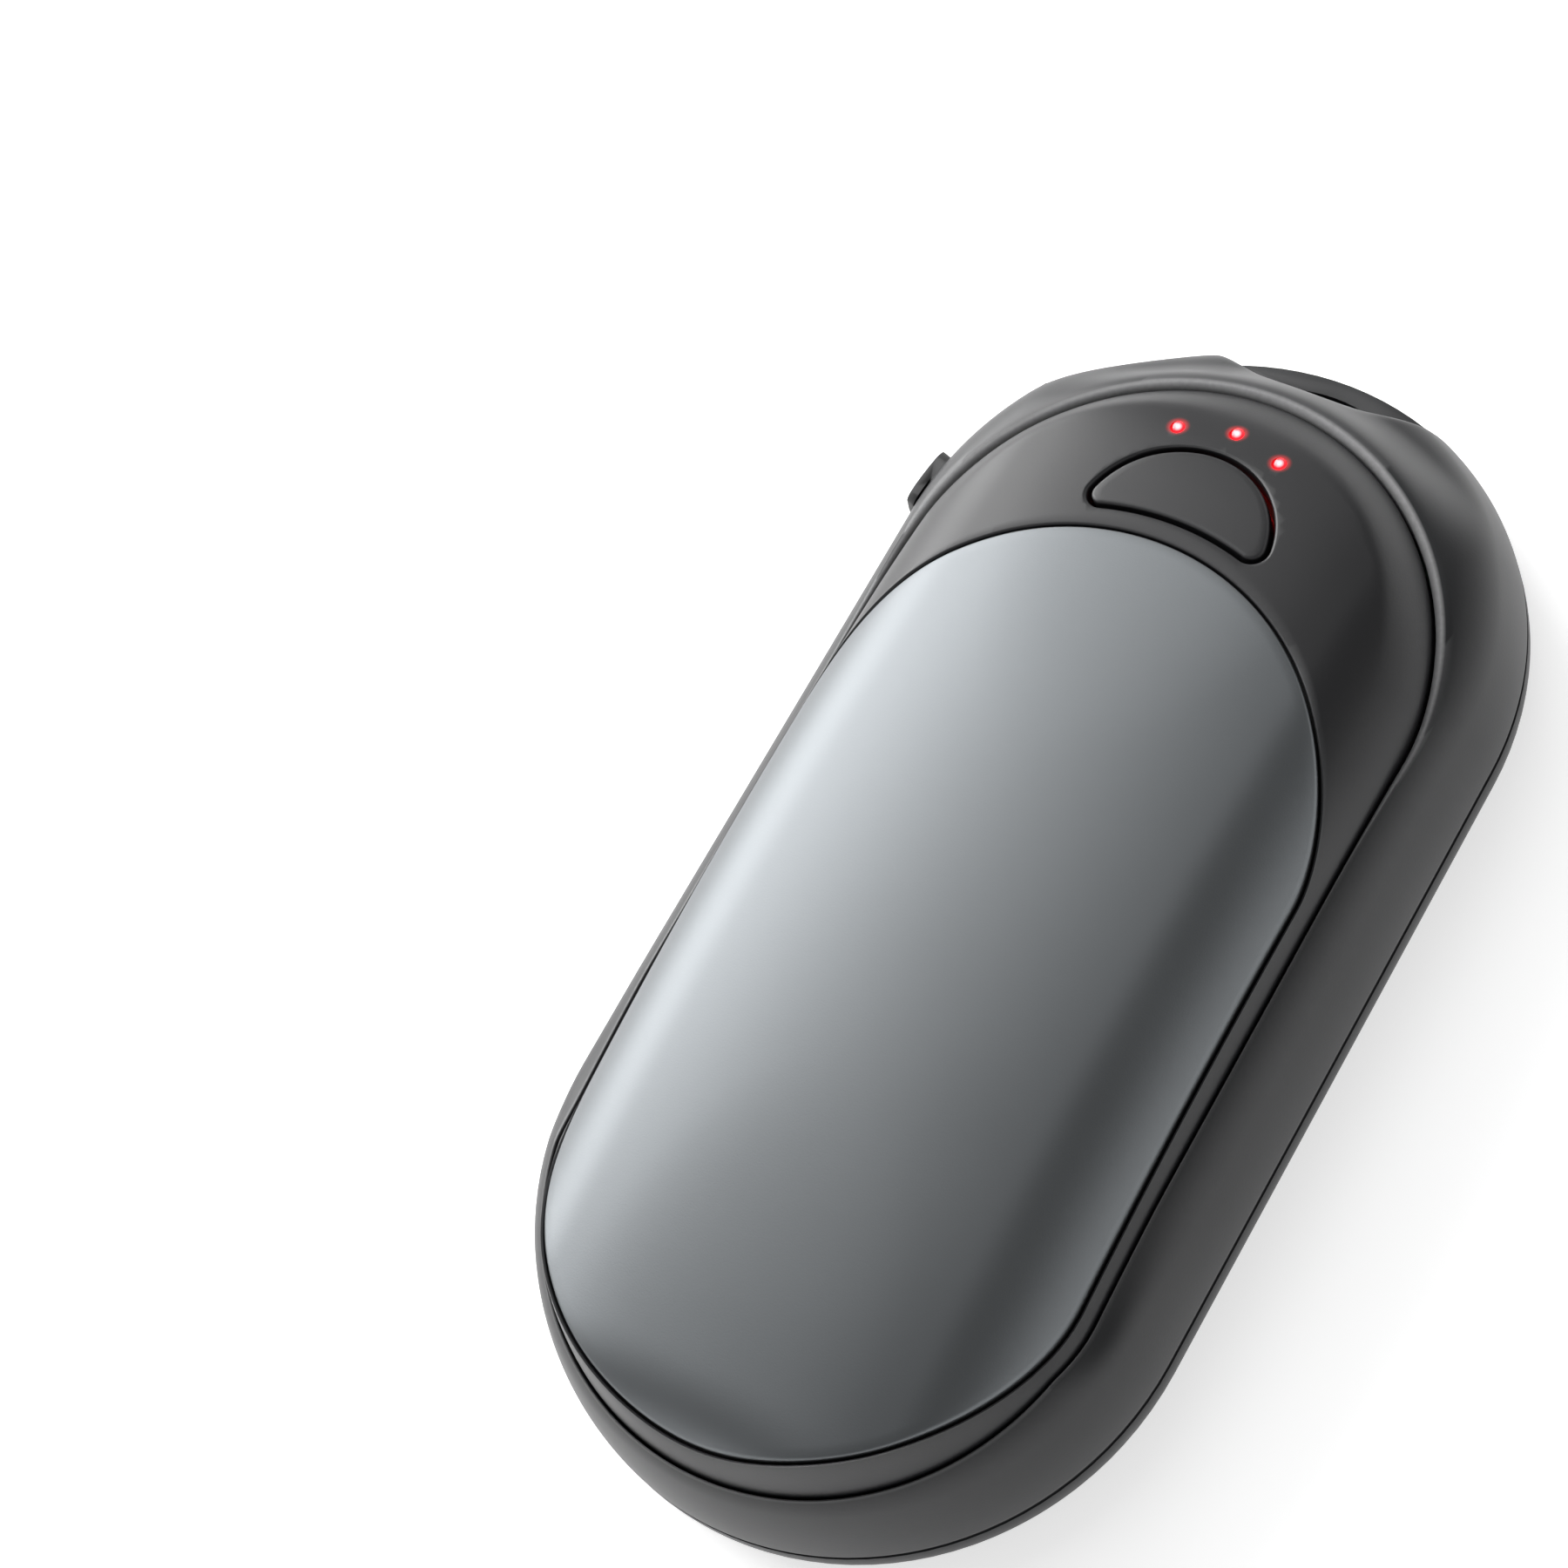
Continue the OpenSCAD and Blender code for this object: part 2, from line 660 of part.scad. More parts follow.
// Side shell between the seam and the groove round the front plate
module front_shell() color(dark) difference() {
    union() {
        sweep_round() difference() {
            shell_outline(0, seam_z);
            shell_outline(wall_t, seam_z - over);
            translate([0, seam_z - over]) square([body_r - wall_t + lap_t, over + tongue_h + near_gap]);
        }
        intersection() {
            sweep_round() shell_outline(over / 5, seam_z);
            scoop(wall_t, 0, body_h);
        }
        intersection() {
            sweep_round() shell_outline(wall_t / 2, seam_z);
            union() {
                for (p = case_places) translate([p[0], p[1], 0]) {
                    raise(lug_z, stack_z) circle(post_r);
                    rotate([0, 0, p[2]]) raise(lug_z, stack_z)
                        translate([0, -lug_arm_w / 2]) square([body_r, lug_arm_w]);
                }
                for (s = [0, 1], y = shelf_y) mirror([s, 0, 0])
                    translate([shelf_x - shelf_in, y - shelf_w / 2, lug_z]) cube([body_r, shelf_w, lug_t]);
            }
        }
        at_port() intersection() {
            port_skin(wall_t / 2, wall_t + port_wall);
            port_pad(0);
        }
    }
    raise(skirt_z - near_gap, body_h) rim_plan(rim_groove);
    scoop(0, 0, body_h);
    for (p = case_places) translate([p[0], p[1], 0]) raise(0, stack_z + near_gap) circle(hole_r);
    at_port() {
        intersection() {
            port_skin(-over, flap_t + flap_gap);
            union() {
                window(0, flap_mid_z, flap_w + 2 * flap_gap, flap_h + 2 * flap_gap,
                    flap_corner_r + flap_gap, 0, body_w);
                window(-(flap_w + anchor_cut_w) / 2, anchor_z, anchor_cut_w, anchor_h + 2 * seat_gap,
                    flap_gap, 0, body_w);
            }
        }
        window(0, usb_z, usb_w + 2 * port_gap, usb_h + 2 * port_gap, usb_h / 2, body_r / 2, body_w);
        translate([0, anchor_y, anchor_z]) rotate([0, 90, 0]) cylinder(h = body_w, r = anchor_stem_r + run_gap);
    }
}

// Front plate with its skirt, the ledge for the heat panel, and its screw bosses
module fascia() color(dark) difference() {
    union() {
        difference() {
            intersection() {
                crown(0);
                raise(skirt_z, body_h + over) rim_plan(0);
            }
            intersection() {
                crown(fascia_t);
                raise(0, body_h) rim_plan(-skirt_t);
            }
        }
        intersection() {
            crown(fascia_t - seat_gap);
            raise(stack_z, body_h) rim_plan(-seat_gap);
            union() {
                for (p = case_places) translate([p[0], p[1], 0]) raise(stack_z, body_h) circle(boss_r);
                for (s = [-1, 1]) translate([s * key_screw_x, key_screw_y, 0])
                    raise(key_top, body_h) circle(key_boss_r);
            }
        }
    }
    difference() {
        raise(panel_low_z - seat_gap, body_h + over) panel_plan(panel_groove);
        crown(panel_t + seat_gap);
    }
    raise(0, body_h + over) panel_plan(-ledge_w);
    raise(0, body_h + over) button_plan(button_groove);
    for (p = light_places) translate([p[0], p[1], 0]) raise(0, body_h + over) circle(light_r + light_gap);
    for (p = case_places) translate([p[0], p[1], 0]) raise(0, bore_top) circle(pilot_r);
    for (s = [-1, 1]) translate([s * key_screw_x, key_screw_y, 0])
        raise(0, key_z + small_screw_l + near_gap) circle(small_screw_r + run_gap);
}

// Metal panel that warms the hand
module heat_panel() color(metal) difference() {
    intersection() {
        crown(0);
        raise(panel_low_z, body_h + over) panel_plan(0);
    }
    crown(panel_t);
}

// Crescent button, with a flange under the front plate and a stem on the switch
module button_cap() color(dark) {
    difference() {
        intersection() {
            crown(0);
            raise(0, body_h + over) button_plan(0);
        }
        crown(button_t);
    }
    difference() {
        intersection() {
            crown(fascia_t + seat_gap);
            raise(0, body_h) button_plan(button_flange_w);
        }
        crown(fascia_t + seat_gap + button_flange_t);
    }
    intersection() {
        crown(button_t - seat_gap);
        translate([0, stem_y, 0]) raise(stem_z, body_h) circle(stem_r);
    }
}

// Three light guides on one bar
module light_guides() color([0.9, 0.15, 0.12]) intersection() {
    crown(0);
    union() {
        for (p = light_places) translate([p[0], p[1], 0])
            raise(key_top + led_size[2] + seat_gap, body_h + over) circle(light_r);
        raise(light_bar_z, light_bar_z + light_bar_t) intersection() {
            difference() {
                translate([0, light_arc_y]) circle(light_arc_r + light_bar_w / 2);
                translate([0, light_arc_y]) circle(light_arc_r - light_bar_w / 2);
            }
            polygon([
                [0, light_arc_y], [-light_arc_r, light_arc_y + light_arc_r], [0, body_l],
                [light_arc_r, light_arc_y + light_arc_r]
            ]);
        }
    }
}

// Soft flap over the port, with a plug inside and a pull tab
module port_flap() color(shade) difference() {
    at_port() {
        tab_y = flap_w / 2 + tab_reach - tab_w / 2;
        intersection() {
            port_skin(0, flap_t);
            window(0, flap_mid_z, flap_w, flap_h, flap_corner_r, 0, body_w);
        }
        intersection() {
            port_skin(-tab_proud, -flap_gap);
            window(tab_y, flap_mid_z - flap_gap, tab_w, tab_h, tab_corner_r, 0, body_w);
        }
        intersection() {
            port_skin(-flap_gap - seat_gap, flap_t / 2);
            window(tab_y - tab_reach / 2 - flap_gap, flap_mid_z - flap_gap, tab_w - tab_reach - 2 * flap_gap,
                tab_h, tab_corner_r, 0, body_w);
        }
        intersection() {
            port_body(flap_t / 2);
            window(0, usb_z, plug_w, plug_h, plug_h / 3, plug_tip_x, body_w);
        }
    }
    raise(skirt_z - 2 * near_gap, body_h) rim_plan(rim_groove);
}

// Barb that holds the flap in the shell's wall
module flap_anchor() color(shade) at_port() {
    intersection() {
        port_skin(0, flap_t + flap_gap - seat_gap);
        window(anchor_y, anchor_z, anchor_w, anchor_h, flap_gap, 0, body_w);
    }
    intersection() {
        port_body(flap_t / 2);
        translate([anchor_head_x - seat_gap, anchor_y, anchor_z]) rotate([0, 90, 0])
            cylinder(h = body_r, r = anchor_stem_r);
    }
    translate([anchor_head_x - anchor_head_t, anchor_y, anchor_z]) rotate([0, 90, 0])
        cylinder(h = anchor_head_t, r = anchor_head_r);
}

// Plate between the cell and the insulation, on four shelves of the shell
module mid_frame() color([0.3, 0.3, 0.32]) raise(stack_z, stack_z + frame_t) {
    translate([0, panel_y]) stadium(panel_r - frame_inset, panel_half);
    for (s = [-1, 1], y = shelf_y) translate([s * shelf_x / 2, y]) square([shelf_x, ear_w], center = true);
}

// Foam between the mid frame and the heating film
module insulation_pad() color([0.86, 0.84, 0.78]) difference() {
    intersection() {
        crown(panel_t + film_t + 2 * seat_gap);
        raise(stack_z + frame_t, body_h) panel_plan(-pad_inset);
    }
    translate([0, bead_y, 0]) raise(body_h - panel_t - film_t - 2 * bead_r - near_gap, body_h) circle(pocket_r);
}

// Heating film bonded under the heat panel
module heater_film() color([0.75, 0.4, 0.12]) difference() {
    intersection() {
        crown(panel_t + seat_gap);
        raise(seam_z, body_h) panel_plan(-film_inset);
    }
    crown(panel_t + seat_gap + film_t);
}

// Temperature sensor that touches the film
module thermistor() color([0.15, 0.15, 0.16])
    translate([0, bead_y, body_h - panel_t - film_t - 2 * seat_gap - bead_r]) sphere(bead_r);

module battery_cell() color([0.62, 0.64, 0.66]) raise(cell_z, cell_top) translate([0, cell_y]) {
    square([cell_w - 2 * cell_corner_r, cell_l], center = true);
    square([cell_w, cell_l - 2 * cell_corner_r], center = true);
    for (a = [-1, 1], b = [-1, 1])
        translate([a * (cell_w / 2 - cell_corner_r), b * (cell_l / 2 - cell_corner_r)]) circle(cell_corner_r);
}

module battery_foam() color([0.2, 0.2, 0.2])
    block([0, cell_y], floor_t, [cell_w - 2 * foam_inset, cell_l - 2 * foam_inset, foam_t]);

module protection_board() color(board_green)
    block([guard_x, cell_end_y + seat_gap + guard_size[1] / 2], cell_z + foam_inset, guard_size);

module thermal_cutoff() color([0.85, 0.85, 0.82])
    block([cut_in_x, cell_end_y + seat_gap + cut_in_size[1] / 2], cell_z + foam_inset / 2, cut_in_size);

// Circuit board with notches for the screw posts
module main_board() color(board_green) raise(board_low, board_z) difference() {
    intersection() {
        translate([0, spine_half]) circle(body_r - 2 * wall_t - near_gap);
        translate([-body_r, board_y]) square([body_w, board_l]);
    }
    for (p = case_places) translate([p[0], p[1]]) circle(post_r + near_gap);
    for (s = [-1, 1]) translate([s * board_screw_x, board_screw_y]) circle(small_screw_r + run_gap);
}

// Metal sleeve of the charging port
module usb_shell() color(steel) at_port() difference() {
    window(0, usb_z, usb_w, usb_h, usb_h / 2 - seat_gap, usb_front - usb_l, usb_front);
    window(0, usb_z, usb_w - 2 * usb_wall, usb_h - 2 * usb_wall, usb_h / 2 - usb_wall - seat_gap,
        usb_front - usb_l + usb_wall, usb_front + over);
}

// Insulator of the port with its contact tongue
module usb_tongue() color([0.1, 0.1, 0.1]) at_port() {
    base_x = usb_front - usb_l + usb_wall + seat_gap;
    window(0, usb_z, usb_w - 2 * usb_wall - 2 * seat_gap, usb_h - 2 * usb_wall - 2 * seat_gap,
        usb_h / 2 - usb_wall - 3 * seat_gap, base_x, base_x + usb_back_t);
    window(0, usb_z, tongue_w, tongue_t, tongue_t / 4, base_x + usb_back_t / 2, usb_front - tongue_sink);
}

module charge_chip() color([0.08, 0.08, 0.08]) block(on_board(chip_share), board_z, chip_size);

// Coil of the converter: a ferrite block with a round well
module power_inductor() color([0.25, 0.25, 0.27]) difference() {
    place = on_board(coil_share);
    block(place, board_z, coil_size);
    translate([place[0], place[1], board_z + coil_size[2] - over]) cylinder(h = coil_size[2], r = coil_core_r);
}

module power_capacitors() color([0.6, 0.48, 0.33]) for (p = cap_shares) block(on_board(p), board_z, cap_size);

module battery_plug() color([0.92, 0.9, 0.84]) block(plug_place, board_z, plug_size);

// Leads from the cell's end to the plug
module battery_leads() {
    lead_z = board_z + plug_size[2] / 2;
    end_y = plug_place[1] - plug_size[1] / 2 - seat_gap;
    for (i = [0, 1]) {
        x = plug_place[0] + (2 * i - 1) * lead_r * 1.4;
        color(i == 0 ? "red" : "black") lead([
            [x, cell_end_y + seat_gap, lead_z], [x, (cell_end_y + end_y) / 2, lead_z + lead_r / 3],
            [x, end_y, lead_z]
        ], lead_r);
    }
}

// Leads from the heating film down to the main board
module heater_leads() {
    film_end = panel_y + panel_half + panel_r - film_inset;
    start_z = body_h - panel_t - film_t - (film_end * film_end) / (2 * crown_sweep_r) - 2 * lead_r;
    for (s = [-1, 1]) color("white") lead([
        [s * 3 * lead_r, film_end - 2 * lead_r, start_z], [s * 3 * lead_r, film_end - lead_r / 2, start_z - lead_r],
        [s * 3 * lead_r, film_end + lead_r, start_z - 3 * lead_r],
        [s * 3 * lead_r, film_end + 2 * lead_r, (start_z + board_z) / 2],
        [s * 3 * lead_r, film_end + 2 * lead_r, board_z + seat_gap]
    ], lead_r);
}

// Small board under the button
module key_board() color(board_green) raise(key_z, key_top) difference() {
    intersection() {
        translate([-key_half_w, key_y]) square([2 * key_half_w, body_r]);
        translate([0, rim_y + rim_half]) circle(key_edge_r);
    }
    for (s = [-1, 1]) translate([s * key_screw_x, key_screw_y]) circle(small_screw_r + run_gap);
    for (p = case_places) translate([p[0], p[1]]) circle(boss_r + near_gap);
}

module switch_body() color([0.1, 0.1, 0.1]) difference() {
    block([0, stem_y], key_top, [switch_w, switch_w, switch_h]);
    translate([0, stem_y, 0]) raise(key_top + switch_h / 4, body_h) circle(plunger_r + run_gap);
}

module switch_plunger() color([0.85, 0.85, 0.83])
    translate([0, stem_y, 0]) raise(key_top + switch_h / 4 + button_travel + seat_gap, plunger_top) circle(plunger_r);

module indicator_leds() color([0.95, 0.92, 0.88]) for (p = light_places) block(p, key_top, led_size);

// Pin strip between the two boards
module board_link() color([0.12, 0.12, 0.12]) {
    block([0, link_y], board_z, [link_pins * link_pitch, link_w, link_h]);
    for (i = [0:link_pins - 1])
        block([(i - (link_pins - 1) / 2) * link_pitch, link_y], board_z + link_h - seat_gap,
            [link_pin_w, link_pin_w, key_z - board_z - link_h + seat_gap]);
}

// Long screws through the cover and the shell into the front plate
module case_screws() color(steel) for (p = case_places) translate([p[0], p[1], 0]) difference() {
    union() {
        raise(head_sink, head_sink + screw_head_h) circle(screw_head_r);
        raise(head_sink, screw_tip_z) circle(screw_r);
    }
    raise(0, head_sink + screw_head_h / 2) circle(screw_r * 0.8, $fn = 6);
}

module small_screw(flip) {
    mirror([0, 0, flip]) {
        raise(0, small_head_h) circle(small_head_r);
        raise(board_t + near_gap - small_screw_l, over) circle(small_screw_r);
    }
}

module main_board_screws() color(steel)
    for (s = [-1, 1]) translate([s * board_screw_x, board_screw_y, board_z]) small_screw(0);

module key_board_screws() color(steel)
    for (s = [-1, 1]) translate([s * key_screw_x, key_screw_y, key_z]) small_screw(1);

module magnets() color([0.7, 0.7, 0.72])
    for (p = magnet_places) translate([p[0], p[1], 0]) raise(magnet_z, magnet_z + magnet_t) circle(magnet_r);

rear_cover();
front_shell();
fascia();
heat_panel();
button_cap();
light_guides();
port_flap();
flap_anchor();
mid_frame();
insulation_pad();
heater_film();
thermistor();
battery_cell();
battery_foam();
protection_board();
thermal_cutoff();
main_board();
usb_shell();
usb_tongue();
charge_chip();
power_inductor();
power_capacitors();
battery_plug();
battery_leads();
heater_leads();
key_board();
switch_body();
switch_plunger();
indicator_leds();
board_link();
case_screws();
main_board_screws();
key_board_screws();
magnets();
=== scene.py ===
"""Looks of the rechargeable hand warmer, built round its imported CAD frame.

Lengths of the shape classes are millimetres, as in the part's source, and become metres
when a mesh is placed. +Z is up, the warmer lies on its rear cover, and +Y points to the
end with the button.
"""

from __future__ import annotations

import json
import logging
import math
from collections.abc import Callable, Iterator
from contextlib import contextmanager
from dataclasses import dataclass, field
from enum import Enum

import bmesh
import bpy
from mathutils import Euler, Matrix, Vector

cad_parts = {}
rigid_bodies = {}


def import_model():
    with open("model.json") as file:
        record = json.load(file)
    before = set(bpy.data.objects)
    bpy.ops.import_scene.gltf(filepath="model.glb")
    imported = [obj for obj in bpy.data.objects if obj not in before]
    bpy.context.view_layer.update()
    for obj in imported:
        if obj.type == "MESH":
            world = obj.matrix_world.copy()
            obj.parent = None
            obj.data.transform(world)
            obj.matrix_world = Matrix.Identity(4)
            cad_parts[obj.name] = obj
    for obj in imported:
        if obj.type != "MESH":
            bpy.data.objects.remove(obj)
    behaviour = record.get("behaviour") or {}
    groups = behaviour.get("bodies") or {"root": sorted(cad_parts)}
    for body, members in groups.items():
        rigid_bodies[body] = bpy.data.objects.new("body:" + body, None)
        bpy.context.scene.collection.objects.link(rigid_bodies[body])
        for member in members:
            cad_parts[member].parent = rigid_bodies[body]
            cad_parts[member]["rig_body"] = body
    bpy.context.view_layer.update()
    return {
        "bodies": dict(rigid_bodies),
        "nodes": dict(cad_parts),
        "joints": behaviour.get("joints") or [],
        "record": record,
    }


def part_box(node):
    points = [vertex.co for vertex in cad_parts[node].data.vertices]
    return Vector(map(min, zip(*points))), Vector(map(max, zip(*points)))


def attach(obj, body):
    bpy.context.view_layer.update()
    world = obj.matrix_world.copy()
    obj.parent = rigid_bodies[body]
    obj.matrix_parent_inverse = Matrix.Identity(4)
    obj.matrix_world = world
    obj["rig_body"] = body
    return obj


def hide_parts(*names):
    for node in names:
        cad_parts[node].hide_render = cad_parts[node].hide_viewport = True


log = logging.getLogger("hand_warmer")

MM = 0.001
# Mask value of an outward edge: strength of its painted highlight, with some scuffing.
EDGE_HIGHLIGHT_AND_WEAR = 0.2
SAME_PLACE = 1e-6
HALVINGS = 30
Plan = tuple[float, float]
Place = tuple[float, float, float]
Station = Callable[[float], Place]
Piece = bpy.types.Object
Tree = bpy.types.NodeTree
Material = bpy.types.Material


def select_only(piece: Piece) -> None:
    """Make a piece the only selected and the active object."""
    bpy.ops.object.select_all(action="DESELECT")
    piece.select_set(True)
    bpy.context.view_layer.objects.active = piece


@contextmanager
def editing(piece: Piece) -> Iterator[None]:
    """Edit a piece's mesh with all of it selected."""
    select_only(piece)
    bpy.ops.object.mode_set(mode="EDIT")
    bpy.ops.mesh.select_all(action="SELECT")
    yield
    bpy.ops.object.mode_set(mode="OBJECT")


def smooth_min(first: float, second: float, reach: float) -> float:
    """Lower of two heights, rounded over where they lie closer than the reach."""
    near = max(reach - abs(first - second), 0.0) / reach
    return min(first, second) - near * near * reach / 4


def over_zero(value: float, softness: float = 0.1) -> float:
    """Value where it is over zero and nothing below, with a soft corner between."""
    return (value + math.hypot(value, softness)) / 2


def ease(share: float) -> float:
    """Share from 0 to 1 with a soft start and end."""
    share = min(max(share, 0.0), 1.0)
    return share * share * (3 - 2 * share)


def last_within(limit: float, within: Callable[[float], bool]) -> float:
    """Furthest value from 0 to the limit for which a condition holds, found by halving."""
    low, high = 0.0, limit
    for _ in range(HALVINGS):
        middle = (low + high) / 2
        low, high = (middle, high) if within(middle) else (low, middle)
    return low


def close_and_smooth(piece: Piece, angle: float = 40.0) -> None:
    """Merge doubles, point the faces outwards and smooth all but the sharp edges.

    Args:
        piece: the mesh object.
        angle: edges sharper than this many degrees stay sharp.
    """
    with editing(piece):
        bpy.ops.mesh.remove_doubles(threshold=SAME_PLACE)
        bpy.ops.mesh.normals_make_consistent(inside=False)
    bpy.ops.object.shade_smooth_by_angle(angle=math.radians(angle))


def lofted(name: str, columns: int, stations: list[Station], ring: bool) -> Piece:
    """Lay a grid over a row of stations and close it round.

    Args:
        name: the piece's name.
        columns: faces round the outline.
        stations: each gives the place, in millimetres, for a turn from 0 to 1.
        ring: whether the last station joins the first again.

    Returns:
        The closed mesh object, with its place in its mesh.
    """
    rows = stations + stations[:1] if ring else stations
    bpy.ops.object.select_all(action="DESELECT")
    bpy.ops.mesh.primitive_grid_add(x_subdivisions=columns, y_subdivisions=len(rows) - 1, size=1)
    piece = bpy.context.object
    piece.name = name
    for vertex in piece.data.vertices:
        turn = (round((vertex.co.x + 0.5) * columns) % columns) / columns
        row = round((vertex.co.y + 0.5) * (len(rows) - 1))
        vertex.co = Vector(rows[row](turn)) * MM
    close_and_smooth(piece)
    return piece


def mark_edges(piece: Piece, angle: float = 26.0) -> None:
    """Store a mask of the outward edges, where the materials paint a highlight and lay scuffing.

    Args:
        piece: the mesh object.
        angle: edges that turn outwards by more than this many degrees are marked.
    """
    shape = bmesh.new()
    shape.from_mesh(piece.data)
    highlit_and_worn = {
        vertex.index
        for edge in shape.edges
        if len(edge.link_faces) == 2 and edge.calc_face_angle_signed(0.0) > math.radians(angle)
        for vertex in edge.verts
    }
    shape.free()
    mask = piece.data.attributes.new("edges", "FLOAT", "POINT")
    for index in highlit_and_worn:
        mask.data[index].value = EDGE_HIGHLIGHT_AND_WEAR


def apply_modifier(piece: Piece, kind: str, **settings: object) -> None:
    """Add a modifier with these settings and apply it."""
    select_only(piece)
    modifier = piece.modifiers.new(kind.title(), kind)
    for key, value in settings.items():
        setattr(modifier, key, value)
    bpy.ops.object.modifier_apply(modifier=modifier.name)


def carve(piece: Piece, cutter: Piece) -> None:
    """Cut one closed mesh out of another and drop the cutter."""
    apply_modifier(piece, "BOOLEAN", operation="DIFFERENCE", solver="EXACT", object=cutter)
    bpy.data.objects.remove(cutter)


def traced(frame: dict, node: str, name: str, edge: float, angle: float = 35.0) -> Piece:
    """Copy a CAD node, merge its triangles and round its edges over.

    Args:
        frame: the loaded frame.
        node: the CAD node that the piece copies and replaces.
        name: the new piece's name.
        edge: width in millimetres of the rounding, 0 for none.
        angle: edges sharper than this many degrees are rounded.

    Returns:
        The new mesh object.
    """
    piece = bpy.data.objects.new(name, frame["nodes"][node].data.copy())
    bpy.context.scene.collection.objects.link(piece)
    with editing(piece):
        bpy.ops.mesh.remove_doubles(threshold=2 * SAME_PLACE)
        bpy.ops.mesh.dissolve_limited(angle_limit=math.radians(0.6))
    if edge:
        apply_modifier(
            piece, "BEVEL", width=edge * MM, segments=2, limit_method="ANGLE",
            angle_limit=math.radians(angle), use_clamp_overlap=True,
        )
    bpy.ops.object.shade_smooth_by_angle(angle=math.radians(30))
    piece.data.materials.clear()
    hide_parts(node)
    return piece


@dataclass(frozen=True)
class Stadium:
    """A round-ended outline about the middle line, with its legs split at even shares."""

    radius: float
    half: float
    centre: float
    join: float | None = None
    side_share: float = 0.195
    cap_share: float = 0.305

    def point(self, turn: float, outset: float = 0.0) -> Plan:
        """Place on the outline.

        Args:
            turn: 0 to 1, from the lower end of the +x side round by the top end.
            outset: distance outside the outline.

        Returns:
            The plan place.
        """
        radius = self.radius + outset
        low, high = self.centre - self.half, self.centre + self.half
        join = high if self.join is None else self.join
        if turn < self.side_share:
            return radius, low + (join - low) * turn / self.side_share
        turn -= self.side_share
        if turn < self.cap_share:
            straight = high - join
            run = turn / self.cap_share * (2 * straight + math.pi * radius)
            if run < straight:
                return radius, join + run
            if run > straight + math.pi * radius:
                return -radius, high - (run - straight - math.pi * radius)
            angle = (run - straight) / radius
            return radius * math.cos(angle), high + radius * math.sin(angle)
        turn -= self.cap_share
        if turn < self.side_share:
            return -radius, join - (join - low) * turn / self.side_share
        angle = math.pi + math.pi * (turn - self.side_share) / self.cap_share
        return radius * math.cos(angle), low + radius * math.sin(angle)

    def spine_y(self, y: float) -> float:
        """Nearest place on the middle line to a height along it."""
        return min(max(y, self.centre - self.half), self.centre + self.half)

    def spine_distance(self, x: float, y: float) -> float:
        """Distance of a plan place from the middle line."""
        return math.hypot(x, y - self.spine_y(y))


@dataclass(frozen=True)
class EndSlope:
    """The arc by which the crown falls away at one end."""

    side: int
    centre_y: float
    centre_z: float
    radius: float
    start_y: float

    def height(self, y: float) -> float:
        """Height of the slope, carried on as its tangent inside of its start."""
        start = self.side * (self.start_y - self.centre_y)
        reach = self.side * (y - self.centre_y)
        rise = math.sqrt(self.radius**2 - start**2)
        if reach < start:
            return self.centre_z + rise + (start - reach) * start / rise
        return self.centre_z + math.sqrt(max(self.radius**2 - reach**2, 0.0))


